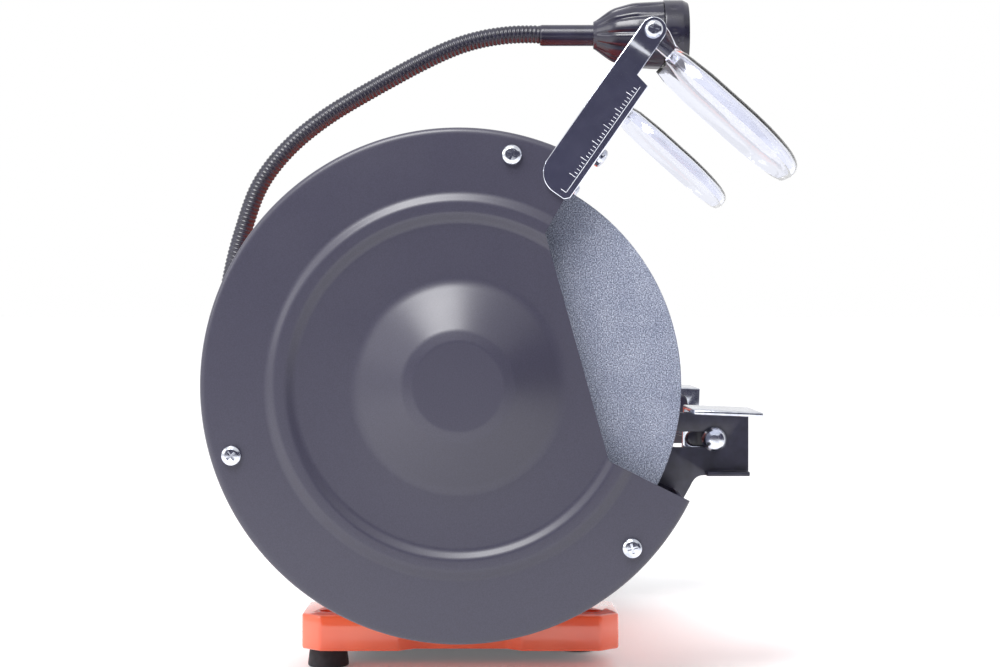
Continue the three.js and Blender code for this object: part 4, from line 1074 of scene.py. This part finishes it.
class GRINDER_OT_neck(bpy.types.Operator):
    """Ribbed gooseneck in three lengths, the second and third each over one hinge, and its socket"""
    bl_idname = "grinder.neck"
    bl_label = "Gooseneck"

    def execute(self, context):
        sizes = context.scene.grinder_sizes
        pitch, depth = sizes.neck_pitch / MM, sizes.neck_rib / MM
        path, runs = neck_path()

        def place(run):
            index = min(range(len(runs)), key=lambda i: abs(runs[i] - run))
            return Vector((0, path[index].x, path[index].y)) * MM

        hinges = [0.0]
        for hinge in NECK_HINGES:
            target = Vector((NECK_START[0] + NECK_LINE[hinge][0], NECK_START[1] + NECK_LINE[hinge][1]))
            hinges.append(runs[min(range(len(path)), key=lambda i: (path[i] - target).length)])
        cuts = [0.0, (hinges[0] + hinges[1]) / 2, (hinges[1] + hinges[2]) / 2, runs[-1]]
        nodes = ("gooseneck_lower", "gooseneck_middle", "gooseneck_upper")
        for i, node in enumerate(nodes):
            sleeve = neck_length(f"sleeve_{i + 1}", path, runs, cuts[i], cuts[i + 1], pitch, depth)
            sleeve.data.materials.append(neck_sleeve())
            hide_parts(node)
            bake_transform(sleeve)
        socket = fillet([(0, 31), (11.5, 31), (11.5, 21), (9, 20), (9, 6), (7.8, 2), (5.9, 0.6), (0, 0.6)],
                        [0, 0, 1, 1, 1.5, 1, 0.6, 0])
        cup = turned("neck_socket", socket, "Y", 72, (0, *NECK_START))
        stand_for(smooth(cup), moulded_abs(), "lamp_socket")
        return {"FINISHED"}


class GRINDER_OT_lamp(bpy.types.Operator):
    """Lamp head with a fluted bell, a bezel with grips, a lens and a bulb"""
    bl_idname = "grinder.lamp"
    bl_label = "Lamp"

    def execute(self, context):
        groove = context.scene.grinder_sizes.lamp_groove / MM
        head = fillet([(0, 0), (5.1, 0), (5.45, 1), (5.45, 27.7), (7, 27.7), (7.8, 29.2), (13.7, 37.2),
                       (16.8, 48.2), (17.6, 63.7), (15.8, 63.7), (15, 50.2), (12, 39.2), (0, 35.7)],
                      [0, 0.3, 0.5, 0.3, 0.5, 0.8, 18, 24, 0.3, 0.3, 8, 5, 0], 8)
        bell = turned("lamp_bell", head, "Y", 192, LAMP_AT)
        fluted(bell, 12, groove, 31, 58, "Y", LAMP_AT, inner=9, sharp=5)
        stand_for(smooth(bell, 40), moulded_abs(), "lamp_head")
        front = LAMP_AT[1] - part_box("lamp_bezel")[0].y / MM
        wall = [(18.2, 65.2 + 0.5 * k) for k in range(15)]
        outline = [(15, 64), (18.2, 64), *wall, (18.2, front - 3), (16.8, front), (14.4, front),
                   (14.4, front - 2), (15, front - 2)]
        rim = fillet(outline, [0.2, 0.4] + [0] * 15 + [1.2, 0.8, 0.3, 0.2, 0.2], 4)
        bezel = turned("lamp_rim", rim, "Y", 192, LAMP_AT)
        fluted(bezel, 8, 0.5, 65.6, 71.8, "Y", LAMP_AT, inner=17, sharp=14)
        stand_for(smooth(bezel, 40), moulded_abs(), "lamp_bezel")
        lens = fillet([(0, front - 4.3), (14.7, front - 4.3), (14.7, front - 2.9), (9, front - 1.8),
                       (0, front - 1.4)], [0, 0.2, 0.4, 6, 0], 5)
        stand_for(smooth(turned("lamp_window", lens, "Y", 96, LAMP_AT)), frosted_lens(), "lamp_lens")
        bulb = fillet([(0, 36.7), (4, 37.2), (4, 45.7), (9, 61.6), (9, 64.6), (3, 66.1), (0, 66.1)],
                      [0, 0.5, 3, 3, 1, 3, 0], 5)
        stand_for(smooth(turned("lamp_reflector", bulb, "Y", 72, LAMP_AT)), mirror_reflector(), "lamp_bulb")
        return {"FINISHED"}


# ---- stage

class GRINDER_OT_stage(bpy.types.Operator):
    """Pale floor, dark flags, soft lights and the camera"""
    bl_idname = "grinder.stage"
    bl_label = "Stage"

    def execute(self, context):
        scene = context.scene
        bpy.ops.object.select_all(action="DESELECT")
        floor_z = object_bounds()[0].z - 0.0002
        bpy.ops.mesh.primitive_grid_add(x_subdivisions=4, y_subdivisions=4, size=60, location=(0, 0, floor_z))
        floor = bpy.context.active_object
        floor.name = "studio_floor"
        floor.data.materials.append(studio_sweep())
        floor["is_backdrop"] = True
        world = bpy.data.worlds.new("studio")
        world.use_nodes = True
        tree = world.node_tree
        tree.nodes.clear()
        sky = add_node(tree, "Background", {"Color": (1, 1, 1, 1), "Strength": 1.0})
        add_node(tree, "OutputWorld", {"Surface": sky})
        scene.world = world
        scene.view_settings.view_transform = "Standard"
        height = 0.92
        for name, x, y, turn, length in (("flag_side", -1.75, -0.05, 0, 2.4),
                                         ("flag_front", -0.95, -1.25, math.radians(60), 1.1)):
            bpy.ops.mesh.primitive_plane_add(size=1, location=(x, y, height / 2 + 0.01),
                                             rotation=(0, math.pi / 2, turn))
            flag = bpy.context.active_object
            flag.name = name
            flag.scale = (height, length, 1)
            bpy.ops.object.transform_apply(location=True, rotation=True, scale=True)
            flag.data.materials.append(black_cloth())
            flag.visible_camera = False
            flag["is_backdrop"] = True
        aim = Vector((0, 0, 0.15))
        for name, place, size, power in (("soft_top", Vector((-0.8, 0.3, 1.25)), 0.7, 22),
                                         ("soft_rear", Vector((-0.5, 1.4, 0.8)), 0.8, 6)):
            light = bpy.data.lights.new(name, "AREA")
            light.size = size
            light.energy = power
            lamp = bpy.data.objects.new(name, light)
            lamp.location = place
            lamp.rotation_euler = (aim - place).to_track_quat("-Z", "Y").to_euler()
            scene.collection.objects.link(lamp)
        camera = bpy.data.cameras.new("camera")
        camera.lens = 81.4
        camera.sensor_width = 36
        camera.shift_x = 0.016
        camera.shift_y = -0.0285
        eye = bpy.data.objects.new("camera", camera)
        eye.location = (-1.1745, -0.0113, SHAFT_Z * MM + 0.0359)
        eye.rotation_euler = (math.pi / 2, 0, -math.pi / 2)
        scene.collection.objects.link(eye)
        scene.camera = eye
        return {"FINISHED"}


BUILDERS = (GRINDER_OT_base, GRINDER_OT_feet, GRINDER_OT_switch, GRINDER_OT_motor, GRINDER_OT_wheels,
            GRINDER_OT_guards, GRINDER_OT_covers, GRINDER_OT_screws, GRINDER_OT_rests, GRINDER_OT_arms,
            GRINDER_OT_shields, GRINDER_OT_neck, GRINDER_OT_lamp, GRINDER_OT_stage)


class GRINDER_PT_panel(bpy.types.Panel):
    """Lists the grinder's pieces and its sizes"""
    bl_idname = "GRINDER_PT_panel"
    bl_label = "Bench grinder"
    bl_space_type = "VIEW_3D"
    bl_region_type = "UI"
    bl_category = "Grinder"

    def draw(self, context):
        layout = self.layout
        for group in (context.scene.grinder_sizes, context.scene.grinder_colours):
            column = layout.column(align=True)
            for name in group.__annotations__:
                column.prop(group, name)
        column = layout.column(align=True)
        for builder in BUILDERS:
            column.operator(builder.bl_idname)


CLASSES = (GrinderSizes, GrinderColours, *BUILDERS, GRINDER_PT_panel)


def register():
    for one in CLASSES:
        bpy.utils.register_class(one)
    bpy.types.Scene.grinder_sizes = bpy.props.PointerProperty(type=GrinderSizes)
    bpy.types.Scene.grinder_colours = bpy.props.PointerProperty(type=GrinderColours)


def unregister():
    del bpy.types.Scene.grinder_colours
    del bpy.types.Scene.grinder_sizes
    for one in reversed(CLASSES):
        bpy.utils.unregister_class(one)


def main():
    register()
    for builder in BUILDERS:
        group, name = builder.bl_idname.split(".")
        getattr(getattr(bpy.ops, group), name)()


if __name__ == "__main__":
    main()
